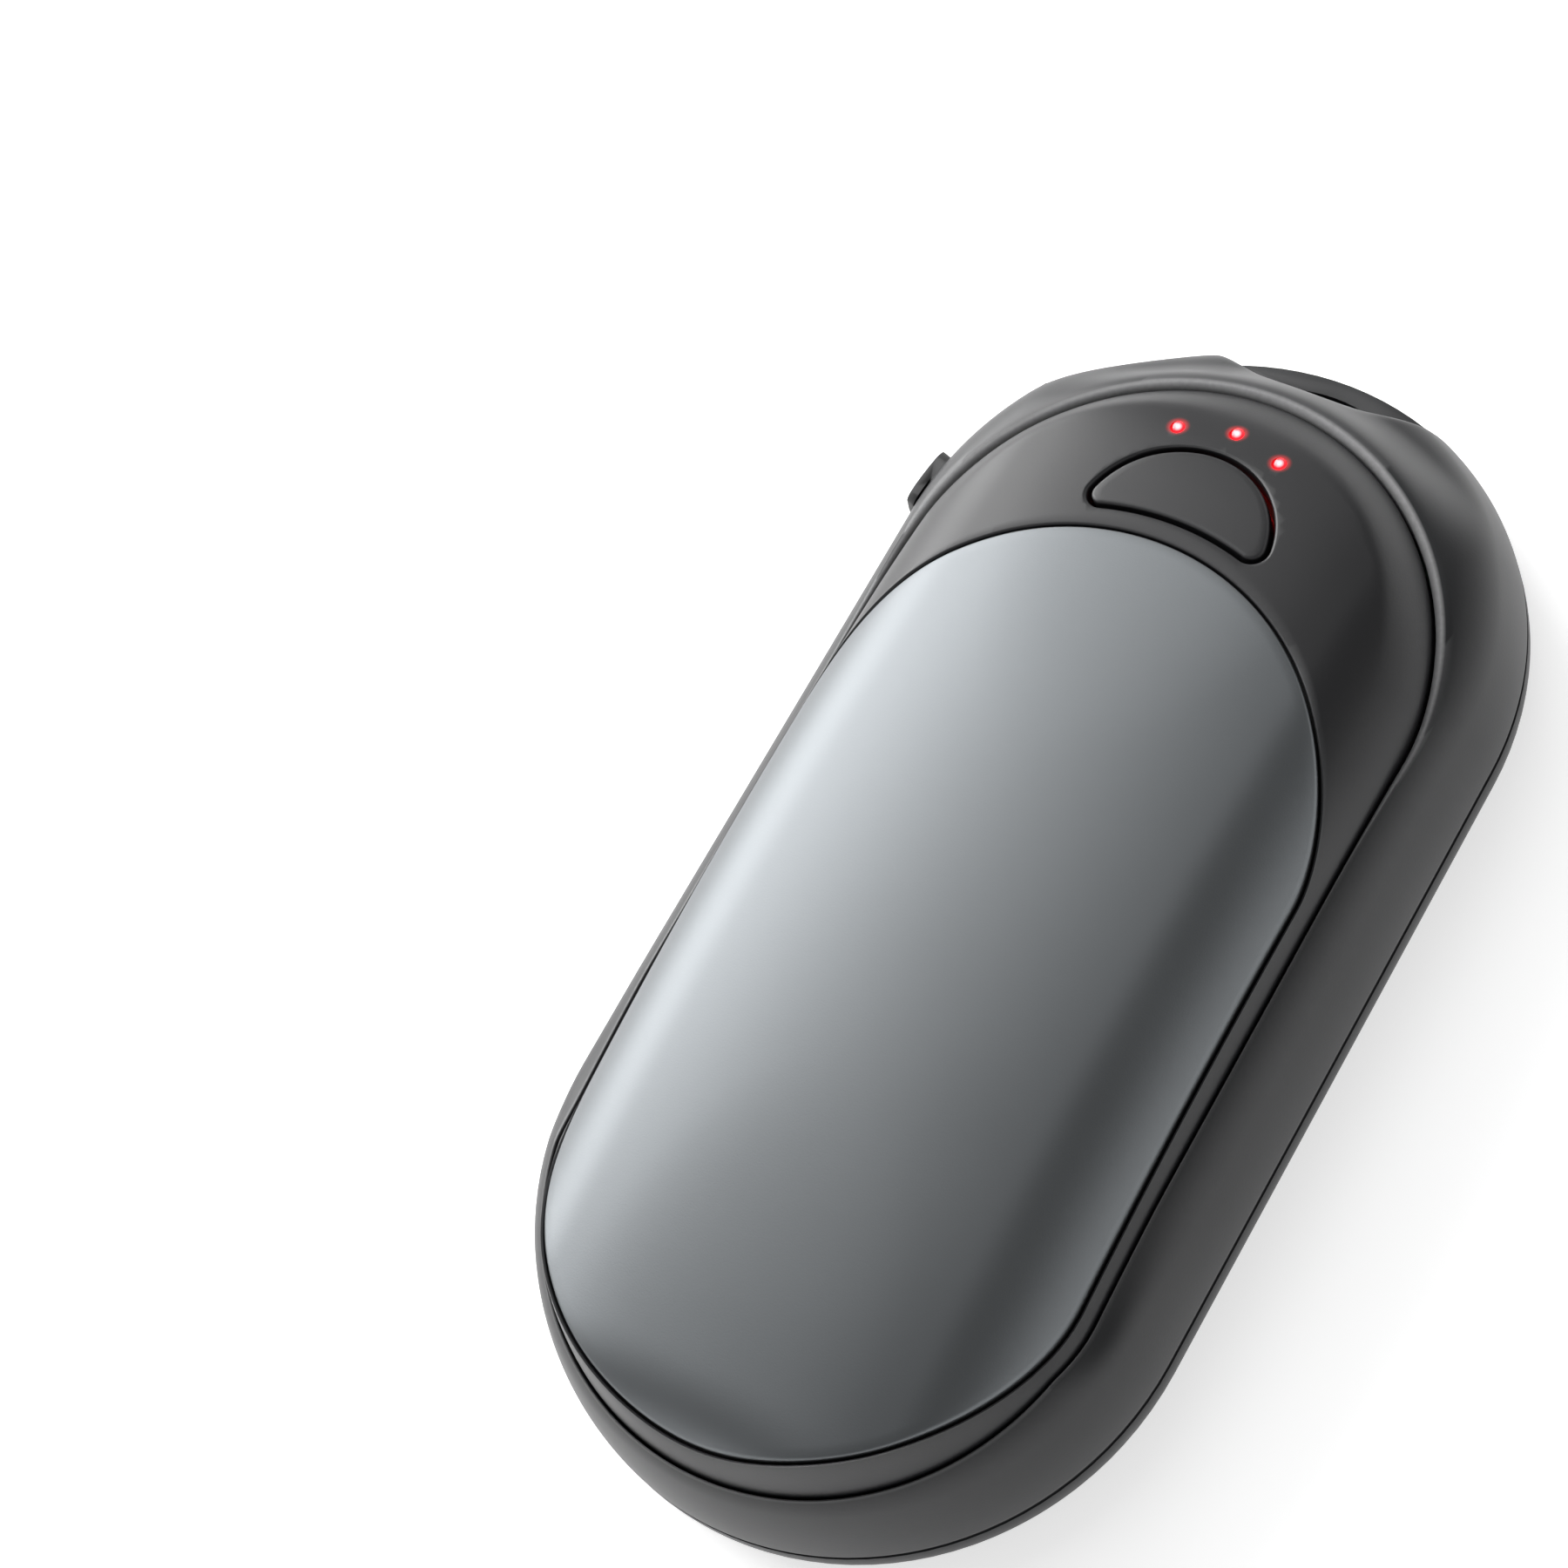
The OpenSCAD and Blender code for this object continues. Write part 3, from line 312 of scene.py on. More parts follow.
@dataclass(frozen=True)
class BodyShape:
    """Surfaces that the outer pieces share."""

    height: float = 23.0
    seam_z: float = 4.5
    body: Stadium = Stadium(26.0, 26.0, 0.0)
    rim: Stadium = Stadium(22.3, 24.1, -3.3)
    panel: Stadium = Stadium(21.6, 16.4, -10.6)
    crown_r: float = 70.0
    shoulder_start: float = 15.16
    shoulder_r: float = 10.2
    shoulder_x: float = 12.95
    shoulder_z: float = 11.381
    sweep_r: float = 240.0
    end_blend: float = 1.4
    ends: tuple[EndSlope, EndSlope] = (
        EndSlope(1, 28.62, -4.80, 26.0, 32.1),
        EndSlope(-1, -41.965, 10.28, 9.0, -43.6),
    )
    side_r: float = 22.0
    side_turn: float = math.radians(18.03)
    lip_r: float = 6.0
    lip_turn: float = math.radians(70)
    scoop_r: float = 21.18
    scoop_y: float = 68.38
    scoop_start: float = 26.0
    scoop_half: float = 18.0
    scoop_fade: float = 2.5
    widen_start: float = 8.0
    widen_run: float = 24.0
    rim_groove: float = 0.45

    def crown(self, x: float, y: float) -> float:
        """Height of the crowned front over a plan place."""
        reach = abs(x)
        if reach <= self.shoulder_start:
            profile = self.height - self.crown_r + math.sqrt(self.crown_r**2 - reach**2)
        else:
            across = min(reach - self.shoulder_x, self.shoulder_r)
            profile = self.shoulder_z + math.sqrt(self.shoulder_r**2 - across**2)
        swept = self.sweep_r + profile - self.height
        z = self.height - self.sweep_r + math.sqrt(swept**2 - y**2)
        for end in self.ends:
            z = smooth_min(z, end.height(y), self.end_blend)
        return z

    def under_crown(self, outline: Callable[[float], Plan], drop: float) -> Station:
        """Station on an outline, a drop under the crown."""

        def place(turn: float) -> Place:
            x, y = outline(turn)
            return x, y, self.crown(x, y) - drop

        return place

    @property
    def side_run(self) -> float:
        """Length of the side's arc."""
        return self.side_r * self.side_turn

    @property
    def lip_run(self) -> float:
        """Length of the lip's arc."""
        return self.lip_r * (self.lip_turn - self.side_turn)

    @property
    def lip_centre(self) -> Plan:
        """Centre of the lip's arc: distance from the spine, and height."""
        inner = self.side_r - self.lip_r
        middle = self.body.radius - self.side_r
        return (
            middle + inner * math.cos(self.side_turn),
            self.seam_z + inner * math.sin(self.side_turn),
        )

    def shell_at(self, run: float) -> Plan:
        """Distance from the spine and height of the shell, a length up from the seam."""
        if run < self.side_run:
            angle, radius = run / self.side_r, self.side_r
            middle = self.body.radius - radius
            return middle + radius * math.cos(angle), self.seam_z + radius * math.sin(angle)
        centre_d, centre_z = self.lip_centre
        if run < self.side_run + self.lip_run:
            angle = self.side_turn + (run - self.side_run) / self.lip_r
            return centre_d + self.lip_r * math.cos(angle), centre_z + self.lip_r * math.sin(angle)
        rest = run - self.side_run - self.lip_run
        cos, sin = math.cos(self.lip_turn), math.sin(self.lip_turn)
        return centre_d + self.lip_r * cos - rest * sin, centre_z + self.lip_r * sin + rest * cos

    def shell_run(self, distance: float) -> float:
        """Length up from the seam at which the shell is this far from the spine."""
        return last_within(self.body.radius, lambda run: self.shell_at(run)[0] > distance)

    def lip_height(self, x: float, y: float) -> float:
        """Height of the shell's surface over a plan place."""
        distance = self.body.spine_distance(x, y)
        middle = self.body.radius - self.side_r
        centre_d, centre_z = self.lip_centre
        if distance > middle + self.side_r * math.cos(self.side_turn):
            return self.seam_z + math.sqrt(self.side_r**2 - (distance - middle) ** 2)
        if distance > centre_d + self.lip_r * math.cos(self.lip_turn):
            return centre_z + math.sqrt(self.lip_r**2 - (distance - centre_d) ** 2)
        end = centre_d + self.lip_r * math.cos(self.lip_turn) - distance
        return centre_z + self.lip_r * math.sin(self.lip_turn) + end / math.tan(self.lip_turn)

    def scooped(self, x: float, y: float, wall: float = 0.0, reach: float = 0.7) -> Plan:
        """Push a plan place in behind the scoop at the top end."""
        if y < self.scoop_start or abs(x) > self.scoop_half:
            return x, y
        pushed = smooth_min(y, self.scoop_y - math.sqrt(self.scoop_r**2 - x * x) - wall, reach)
        share = ease((self.scoop_half - abs(x)) / self.scoop_fade)
        return x, y + (pushed - y) * share

    def widened(self, y: float) -> float:
        """Share of the way along to the top end, where the groove's lip is wide."""
        return ease((y - self.widen_start) / self.widen_run)


class Body(Enum):
    """Bodies of the CAD model that pieces ride on."""

    CASE = "case"
    BUTTON = "button"
    PLUNGER = "plunger"
    FLAP = "flap"


def new_group(name: str, inputs: dict[str, float], outputs: list[str]) -> Tree:
    """Start a shader node group with named numbers in and out.

    Args:
        name: the group's name.
        inputs: each input's name and usual value.
        outputs: the outputs' names.

    Returns:
        The group, with its input and output nodes in place.
    """
    tree = bpy.data.node_groups.new(name, "ShaderNodeTree")
    for label, value in inputs.items():
        made = tree.interface.new_socket(label, in_out="INPUT", socket_type="NodeSocketFloat")
        made.default_value = value
    for label in outputs:
        tree.interface.new_socket(label, in_out="OUTPUT", socket_type="NodeSocketFloat")
    tree.nodes.new("NodeGroupInput").name = "In"
    tree.nodes.new("NodeGroupOutput").name = "Out"
    return tree


def feed(node: bpy.types.Node, inputs: dict[str | int, object]) -> None:
    """Give inputs of a node a link from another node's output, or else a value."""
    for key, value in inputs.items():
        if isinstance(value, bpy.types.NodeSocket):
            node.id_data.links.new(value, node.inputs[key])
        else:
            node.inputs[key].default_value = value


def add_node(
    tree: Tree, kind: str, inputs: dict | None = None, **settings: object
) -> bpy.types.Node:
    """Add a shader node, set it up and feed it.

    Args:
        tree: the tree that the node goes into.
        kind: the node's type, without "ShaderNode".
        inputs: what each input gets: a link from another node's output, or a value.
        settings: the node's attributes, which are set first.

    Returns:
        The node.
    """
    node = tree.nodes.new(f"ShaderNode{kind}")
    for key, value in settings.items():
        setattr(node, key, value)
    feed(node, inputs or {})
    return node


def moulded_grain() -> Tree:
    """Group with the fine texture of a spark-eroded mould and a slow mottle over it."""
    tree = new_group("moulded_grain", {"Grain": 5200.0, "Mottle": 60.0}, ["Height", "Patch"])
    given, place = tree.nodes["In"], add_node(tree, "TexCoord")
    for label, detail, source in (("Height", 3.0, "Grain"), ("Patch", 2.0, "Mottle")):
        noise = add_node(tree, "TexNoise", {"Scale": given.outputs[source], "Detail": detail})
        feed(noise, {"Vector": place.outputs["Object"]})
        feed(tree.nodes["Out"], {label: noise.outputs["Fac"]})
    return tree


def edge_highlight_and_wear() -> Tree:
    """Group with a mask of the outer edges, for a painted highlight and scuffing along them, broken
    up a little by noise.
    """
    tree = new_group("edge_highlight_and_wear", {"Break": 2500.0}, ["Mask"])
    edges = add_node(tree, "Attribute", attribute_name="edges")
    place = add_node(tree, "TexCoord").outputs["Object"]
    scale = tree.nodes["In"].outputs["Break"]
    noise = add_node(tree, "TexNoise", {"Vector": place, "Scale": scale}).outputs["Fac"]
    ends = {"From Min": 0.3, "From Max": 0.7, "To Min": 0.85}
    patchy = add_node(tree, "MapRange", {"Value": noise, **ends}).outputs["Result"]
    broken = add_node(tree, "Math", {0: edges.outputs["Fac"], 1: patchy}, operation="MULTIPLY")
    feed(tree.nodes["Out"], {"Mask": broken.outputs["Value"]})
    return tree


@dataclass(frozen=True)
class Finish:
    """A procedural material: colour with its painted edge highlight and scuffing, roughness with
    its mottle, and grain.
    """

    name: str
    colour: tuple[float, float, float]
    # Colour laid along outward edges by the edge mask: a painted highlight, with some scuffing.
    highlit_and_worn: tuple[float, float, float]
    roughness: float = 0.5
    rough_spread: float = 0.1
    metallic: float = 0.0
    grain: float = 5200.0
    grain_depth: float = 0.01
    mottle: float = 60.0
    coat: float = 0.0

    def make(self) -> Material:
        """Make the material, or give it back if it is there already.

        Returns:
            The material.
        """
        look = f"{self.name}_look"
        found = bpy.data.materials.get(look)
        if found:
            return found
        material = bpy.data.materials.new(look)
        material.use_nodes = True
        tree = material.node_tree
        group = bpy.data.node_groups.get("moulded_grain") or moulded_grain()
        grain = add_node(tree, "Group", node_tree=group)
        feed(grain, {"Grain": self.grain, "Mottle": self.mottle})
        group = bpy.data.node_groups.get("edge_highlight_and_wear") or edge_highlight_and_wear()
        highlight_and_wear_mask = add_node(tree, "Group", node_tree=group)
        # The edge mask mixes in the second colour: a painted highlight along the edges, with some
        # scuffing.
        colours = {"A": (*self.colour, 1), "B": (*self.highlit_and_worn, 1), "Factor": highlight_and_wear_mask.outputs["Mask"]}
        base = add_node(tree, "Mix", colours, data_type="RGBA").outputs["Result"]
        mottled = {"Value": grain.outputs["Patch"]}
        patch = add_node(tree, "MapRange", mottled | {"To Min": 0.7, "To Max": 1.3})
        colours = {"A": base, "B": patch.outputs["Result"], "Factor": 0.25}
        tint = add_node(tree, "Mix", colours, data_type="RGBA", blend_type="MULTIPLY")
        low, high = self.roughness - self.rough_spread, self.roughness + self.rough_spread
        rough = add_node(tree, "MapRange", mottled | {"To Min": low, "To Max": high})
        depth = {"Strength": 0.5, "Distance": self.grain_depth * MM}
        bump = add_node(tree, "Bump", {"Height": grain.outputs["Height"]} | depth)
        feed(tree.nodes["Principled BSDF"], {
            "Base Color": tint.outputs["Result"],
            "Roughness": rough.outputs["Result"],
            "Normal": bump.outputs["Normal"],
            "Metallic": self.metallic,
            "Coat Weight": self.coat,
            "Coat Roughness": 0.15,
        })
        return material


# On the two dark plastics the second colour is a painted highlight, far lighter than the plastic,
# laid along lips and grooves.
CHARCOAL = Finish("charcoal_plastic", (0.014, 0.0145, 0.016), (0.3, 0.3, 0.305), 0.42, 0.05)
PLATE_BLACK = Finish("plate_plastic", (0.012, 0.012, 0.0135), (0.13, 0.13, 0.135), 0.42, 0.05)
ANODISED = Finish(
    "anodised_panel", (0.165, 0.175, 0.182), (0.4, 0.4, 0.41), 0.5, 0.03, metallic=1.0,
    grain=7000.0, grain_depth=0.012, mottle=45.0,
)
RUBBER = Finish("soft_rubber", (0.015, 0.015, 0.016), (0.03, 0.03, 0.03), 0.62, 0.08, grain=3800.0)
INSULATION = Finish(
    "insulation_foam", (0.42, 0.40, 0.36), (0.5, 0.48, 0.44), 0.85, grain=2400.0
)
PLAIN = (
    Finish("frame_plastic", (0.05, 0.05, 0.055), (0.09, 0.09, 0.09)),
    Finish("film_copper", (0.48, 0.22, 0.07), (0.6, 0.33, 0.12), 0.38, metallic=0.4),
    Finish("epoxy_black", (0.012, 0.012, 0.012), (0.03, 0.03, 0.03), 0.45),
    Finish("cell_foil", (0.55, 0.56, 0.57), (0.7, 0.7, 0.7), 0.34, metallic=0.8),
    Finish("foam_dark", (0.03, 0.03, 0.032), (0.05, 0.05, 0.05), 0.9, 0.05, grain=2400.0),
    Finish("board_laminate", (0.012, 0.075, 0.035), (0.05, 0.12, 0.07), 0.42),
    Finish("socket_white", (0.62, 0.61, 0.56), (0.7, 0.7, 0.66), 0.48),
    Finish("port_steel", (0.55, 0.55, 0.56), (0.7, 0.7, 0.7), 0.3, metallic=1.0),
    Finish("ferrite", (0.03, 0.028, 0.027), (0.06, 0.055, 0.05), 0.6),
    Finish("chip_ceramic", (0.32, 0.24, 0.15), (0.45, 0.36, 0.26)),
    Finish("lead_red", (0.35, 0.012, 0.01), (0.45, 0.05, 0.04), 0.45),
    Finish("lead_white", (0.6, 0.59, 0.56), (0.7, 0.7, 0.68), 0.45),
    Finish("led_resin", (0.5, 0.32, 0.2), (0.6, 0.45, 0.32), 0.25),
    Finish("screw_steel", (0.42, 0.42, 0.43), (0.62, 0.62, 0.62), 0.32, metallic=1.0),
    Finish("magnet_nickel", (0.6, 0.59, 0.57), (0.75, 0.74, 0.72), 0.24, metallic=1.0),
    RUBBER,
)
FINISHES: dict[str, Finish] = {finish.name: finish for finish in PLAIN} | {
    "case_plastic": CHARCOAL,
    "plate_plastic": PLATE_BLACK,
    "panel_metal": ANODISED,
    "insulation": INSULATION,
}


def glow_material() -> Material:
    """Red light guide with a nearly white core, brightest at its own centre line."""
    material = Finish("light_guide", (0.5, 0.01, 0.012), (0.6, 0.05, 0.05), 0.2, coat=0.5).make()
    tree = material.node_tree
    core = add_node(tree, "Attribute", attribute_name="core").outputs["Fac"]
    colours = {"A": (1.0, 0.006, 0.012, 1), "B": (1.0, 0.42, 0.46, 1), "Factor": core}
    ramp = add_node(tree, "Mix", colours, data_type="RGBA")
    light = {"Emission Color": ramp.outputs["Result"], "Emission Strength": 3.2}
    feed(tree.nodes["Principled BSDF"], light)
    return material


def finish_piece(piece: Piece, body: Body, slot: str, *nodes: str) -> Piece:
    """Dress a new piece, seat it on its body and hide the CAD nodes that it replaces.

    Args:
        piece: the mesh object.
        body: the CAD body that it rides on.
        slot: the record's material slot.
        nodes: CAD nodes that it replaces.

    Returns:
        The same piece.
    """
    mark_edges(piece)
    if not piece.data.materials:
        piece.data.materials.append(FINISHES[slot].make())
    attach(piece, body.value)
    if nodes:
        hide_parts(*nodes)
    log.info("%s: %d faces on %s", piece.name, len(piece.data.polygons), body.value)
    return piece


@dataclass(frozen=True)
class PortCut:
    """A rounded block that is cut out at the port, in the port's own directions."""

    name: str
    out: Plan
    along: Plan
    z: Plan
    corner: float


@dataclass
class PortFrame:
    """Place and directions of the charging port on the left shoulder."""

    origin: Plan = (0.0, 26.0)
    outward: Plan = (-0.9588, 0.2840)
    along: Plan = (-0.2840, -0.9588)
    corner_steps: int = 8
    cuts: tuple[PortCut, ...] = (
        PortCut("pocket", (24.4, 30.0), (-5.4, 5.4), (4.8, 13.8), 2.0),
        PortCut("opening", (20.0, 30.0), (-4.7, 4.7), (8.4, 12.06), 1.7),
        PortCut("anchor_slot", (19.0, 30.0), (-8.25, -5.3), (7.38, 12.68), 0.5),
    )

    def place(self, spot: Vector) -> Vector:
        """World place in metres of a place in the port's own directions in millimetres."""
        x = self.origin[0] + spot.x * self.outward[0] + spot.y * self.along[0]
        y = self.origin[1] + spot.x * self.outward[1] + spot.y * self.along[1]
        return Vector((x, y, spot.z)) * MM

    def block(self, cut: PortCut) -> Piece:
        """Make the block of a cut, with its outward edges rounded.

        Args:
            cut: the block's sizes.

        Returns:
            The block, placed in its mesh.
        """
        bpy.ops.object.select_all(action="DESELECT")
        bpy.ops.mesh.primitive_cube_add(size=1)
        block = bpy.context.object
        block.name = cut.name
        spans = (cut.out, cut.along, cut.z)
        size = Vector(end - start for start, end in spans)
        middle = Vector((start + end) / 2 for start, end in spans)
        for vertex in block.data.vertices:
            vertex.co = Vector(a * b for a, b in zip(vertex.co, size)) * MM
        bpy.ops.object.mode_set(mode="EDIT")
        bpy.ops.mesh.select_mode(type="EDGE")
        bpy.ops.mesh.select_all(action="DESELECT")
        bpy.ops.object.mode_set(mode="OBJECT")
        for edge in block.data.edges:
            first, second = (block.data.vertices[i].co for i in edge.vertices)
            edge.select = abs(first.x - second.x) > size.x * MM / 2
        bpy.ops.object.mode_set(mode="EDIT")
        bpy.ops.mesh.bevel(offset=cut.corner * MM, segments=self.corner_steps, affect="EDGES")
        bpy.ops.object.mode_set(mode="OBJECT")
        for vertex in block.data.vertices:
            vertex.co = self.place(vertex.co / MM + middle)
        close_and_smooth(block)
        return block


@dataclass
class FrontShell:
    """Charcoal side shell from the rear seam to the groove round the front plate."""

    shape: BodyShape
    port: PortFrame
    columns: int = 600
    rises: int = 34
    wall: float = 1.8
    lip_round: float = 0.14
    top_lip_round: float = 0.9
    seam_step: float = 0.3
    groove_foot_z: float = 11.2
    inner_top_z: float = 9.6
    sink: float = 0.32
    sink_run: float = 4.2
    sink_start: float = 0.58
    sink_widen: float = 0.32
    drop_run: float = 10.0
    drop_fade: float = 2.5
    lip_slope: float = 0.25
    # Strength of the highlight painted on the lip, at the sides and across the top end.
    lip_shine: Plan = (0.4, 1.0)
    shine_share: float = 0.85
    shine_depth: float = 1.1

    def lip_radius(self, y: float) -> float:
        """Rounding of the lip, wider where it faces the groove across the top end."""
        return self.lip_round + (self.top_lip_round - self.lip_round) * self.shape.widened(y)

    def crest(self, turn: float, inwards: float = 0.0) -> Plan:
        """Plan place on the lip's crest, or a share of the rounding inwards of it."""
        radius = self.lip_radius(self.shape.rim.point(turn)[1])
        return self.shape.rim.point(turn, self.shape.rim_groove + radius * (1 - inwards))

    def on_ray(self, turn: float, distance: float) -> Plan:
        """Plan place on the ray from the body's outline to the rim at a spine distance."""
        outer = Vector(self.shape.body.point(turn))
        inner = Vector(self.shape.rim.point(turn, self.shape.rim_groove))

        def outside(share: float) -> bool:
            return self.shape.body.spine_distance(*outer.lerp(inner, share)) > distance

        return tuple(outer.lerp(inner, last_within(1.0, outside)))

    def top_share(self, turn: float) -> float:
        """How far a turn belongs to the top end, between the two shoulders."""
        radii = self.shape.body.point(turn)[1] / self.shape.body.radius - 1.0
        return ease((radii - self.sink_start) / self.sink_widen)

    def lip_drop(self, turn: float) -> float:
        """How far the lip comes down to the plate, where the sweep would stand over it."""
        edge = self.shape.rim.point(turn, self.shape.rim_groove / 2)
        lip = self.crest(turn)
        over = self.shape.lip_height(*lip) - self.shape.crown(*edge)
        return over_zero(over) * ease(-lip[1] / self.drop_run)

    def skin(self, share: float) -> Station:
        """Station on the outer skin, a share of the way from the seam to the lip."""

        def place(turn: float) -> Place:
            lip = self.crest(turn)
            lip_distance = self.shape.body.spine_distance(*lip)
            whole = self.shape.shell_run(lip_distance)
            run = self.seam_step + share * (whole - self.seam_step)
            distance, z = self.shape.shell_at(run)
            inset = distance - lip_distance
            sunk = self.sink * self.top_share(turn) * ease(inset / self.sink_run)
            z = self.shape.seam_z + (z - self.shape.seam_z) * (1 - sunk)
            z -= self.lip_drop(turn) * (1 - ease(inset / self.drop_fade))
            spot = lip if share == 1.0 else self.on_ray(turn, distance)
            return (*self.shape.scooped(*spot), z)

        return place

    def rounding(self, angle: float) -> Station:
        """Station on the lip's rounding, at an angle down from the skin to the groove."""

        def place(turn: float) -> Place:
            lip = self.crest(turn)
            radius = self.lip_radius(self.shape.rim.point(turn)[1])
            z = self.shape.lip_height(*lip) - self.lip_drop(turn)
            z += radius * (self.lip_slope * math.sin(angle) - 1 + math.cos(angle))
            return (*self.shape.scooped(*self.crest(turn, math.sin(angle))), z)

        return place

    def foot(self, turn: float) -> Place:
        """Station at the foot of the groove's wall."""
        return (*self.shape.rim.point(turn, self.shape.rim_groove), self.groove_foot_z)

    def inner(self, inset: float, z: float, wall: float) -> Station:
        """Station at a height on an outline inside of the body's."""

        def place(turn: float) -> Place:
            return (*self.shape.scooped(*self.shape.body.point(turn, -inset), wall), z)

        return place

    def build(self) -> Piece:
        """Loft the shell and cut the pocket and the opening of the charging port.

        Returns:
            The shell.
        """
        seam, step = self.shape.seam_z, self.seam_step
        stations = [self.inner(self.wall, seam, self.wall), self.inner(step, seam, 0.0)]
        stations += [self.inner(step, seam + step / 2, 0.0)]
        stations += [self.skin(k / self.rises) for k in range(self.rises + 1)]
        stations += [self.rounding(math.radians(a)) for a in (22, 45, 68, 90)]
        stations += [self.foot, self.inner(self.wall, self.inner_top_z, self.wall)]
        shell = lofted("front_shell_skin", self.columns, stations, ring=True)
        for cut in self.port.cuts:
            carve(shell, self.port.block(cut))
        close_and_smooth(shell)
        finish_piece(shell, Body.CASE, "case_plastic", "front_shell")
        self.paint_lip_highlight(shell)
        return shell

    def paint_lip_highlight(self, shell: Piece) -> None:
        """Paint a highlight on the lip's wide rounding across the top end, by raising its edge
        mask.
        """
        mask = shell.data.attributes["edges"]
        dull, bright = self.lip_shine
        for vertex in shell.data.vertices:
            x, y, z = vertex.co / MM
            outset = self.shape.rim.spine_distance(x, y) - self.shape.rim.radius
            near = outset < self.shape.rim_groove + self.shine_share * self.lip_radius(y)
            if near and z > self.groove_foot_z + self.shine_depth:
                mask.data[vertex.index].value = dull + (bright - dull) * self.shape.widened(y)


@dataclass
class FrontPlate:
    """Dark plate that frames the heating panel, with the button's hole and the lights."""

    shape: BodyShape
    columns: int = 800
    across: int = 26
    thickness: float = 2.5
    skirt: float = 1.3
    skirt_foot_z: float = 11.4
    spread: float = 0.24
    settle: float = 3.0
    recess: float = 0.3
    lip_reach: float = 0.14
    settle_power: float = 1.4
    settle_share: float = 0.9
    crowding: float = 1.6
    edge_round: float = 0.16
    ledge_in: float = 2.3
    ledge_drop: float = 1.3
    ledge_t: float = 0.6
    ledge_share: float = 0.25
    groove_r: float = 0.2
    groove_share: float = 0.25
    panel_gap: float = 0.2
    opening: Stadium = field(init=False)
    rim: Stadium = field(init=False)

    def __post_init__(self) -> None:
        """Work out the two outlines that the plate lies between."""
        panel, rim = self.shape.panel, self.shape.rim
        self.opening = Stadium(panel.radius + self.panel_gap, panel.half, panel.centre)
        join = panel.centre + panel.half
        self.rim = Stadium(rim.radius + self.spread, rim.half, rim.centre, join=join)

    def width(self, turn: float) -> float:
        """Distance from the rim to the panel's opening, straight across."""
        return self.opening.spine_distance(*self.rim.point(turn)) - self.opening.radius

    def face(self, x: float, y: float) -> float:
        """Height of the plate's face, which settles from the crown to the shell's lip."""
        z = self.shape.crown(x, y)
        inwards = self.rim.radius - self.rim.spine_distance(x, y)
        middle_y = self.rim.spine_y(y)
        scale = 1.0 / (1.0 - max(inwards, 0.0) / self.rim.radius)
        edge_x, edge_y = x * scale, middle_y + (y - middle_y) * scale
        band = self.opening.spine_distance(edge_x, edge_y) - self.opening.radius
        band = min(self.settle, self.settle_share * band)
        if inwards >= band:
            return z
        outwards = 1.0 + (self.shape.rim_groove - self.spread + self.lip_reach) / self.rim.radius
        lip_y = middle_y + (edge_y - middle_y) * outwards
        lip_z = self.shape.lip_height(edge_x * outwards, lip_y)
        fall = self.shape.crown(edge_x, edge_y) - lip_z
        fall = over_zero(fall) + self.recess * self.shape.widened(edge_y)
        return z - fall * (1 - inwards / band) ** self.settle_power

    def rounding(self, angle: float) -> Station:
        """Station on the outer edge's rounding, at an angle up from the rim's wall."""

        def place(turn: float) -> Place:
            x, y = self.rim.point(turn, -self.edge_round * (1 - math.cos(angle)))
            return x, y, self.face(x, y) - self.edge_round * (1 - math.sin(angle))

        return place

    def groove_round(self, turn: float) -> float:
        """Rounding of the plate's edge at the panel's groove."""
        return min(self.groove_r, self.groove_share * self.width(turn))

    def top(self, share: float) -> Station:
        """Station on the open face, a share of the way from the rounding to the groove."""

        def place(turn: float) -> Place:
            outer = Vector(self.rim.point(turn, -self.edge_round))
            inner = Vector(self.opening.point(turn, self.groove_round(turn)))
            spot = outer.lerp(inner, share)
            return spot.x, spot.y, self.face(spot.x, spot.y)

        return place

    def hole_edge(self, angle: float) -> Station:
        """Station on the rounding of the opening's edge."""

        def place(turn: float) -> Place:
            radius = self.groove_round(turn)
            x, y = self.opening.point(turn, radius * (1 - math.sin(angle)))
            edge = self.face(*self.opening.point(turn, radius))
            return x, y, min(self.face(x, y), edge) - radius * (1 - math.cos(angle))

        return place

    def below(self, outset: float, drop: float) -> Station:
        """Station a drop under the crown, at an outset from the panel's opening."""
        return self.shape.under_crown(lambda turn: self.opening.point(turn, outset), drop)

    def level(self, outset: float) -> Station:
        """Station at the skirt's foot."""
        return lambda turn: (*self.rim.point(turn, outset), self.skirt_foot_z)

    def under(self, share: float) -> Station:
        """Station on the underside, a share of the way from the ledge to the skirt."""

        def place(turn: float) -> Place:
            inner = Vector(self.opening.point(turn, -self.ledge_in))
            spot = inner.lerp(Vector(self.rim.point(turn, -self.skirt)), share)
            drop = self.ledge_drop + self.ledge_t
            drop += (self.thickness - drop) * min(share / self.ledge_share, 1.0)
            return spot.x, spot.y, self.shape.crown(spot.x, spot.y) - drop

        return place

    def build(self, holes: list[Piece]) -> Piece:
        """Loft the plate and cut its holes.

        Args:
            holes: closed meshes to cut out.

        Returns:
            The plate.
        """
        stations = [self.level(-self.skirt), self.level(0.0)]
        stations += [self.rounding(math.radians(a)) for a in (0, 30, 60)]
        stations += [self.top((k / self.across) ** self.crowding) for k in range(self.across + 1)]
        stations += [self.hole_edge(math.radians(a)) for a in (30, 60, 90)]
        stations += [
            self.below(0.0, self.ledge_drop),
            self.below(-self.ledge_in, self.ledge_drop),
            self.below(-self.ledge_in, self.ledge_drop + self.ledge_t),
        ]
        stations += [self.under(k / 5) for k in range(1, 6)]
        plate = lofted("front_plate", self.columns, stations, ring=True)
        for hole in holes:
            carve(plate, hole)
        close_and_smooth(plate)
        return finish_piece(plate, Body.CASE, "plate_plastic", "fascia")


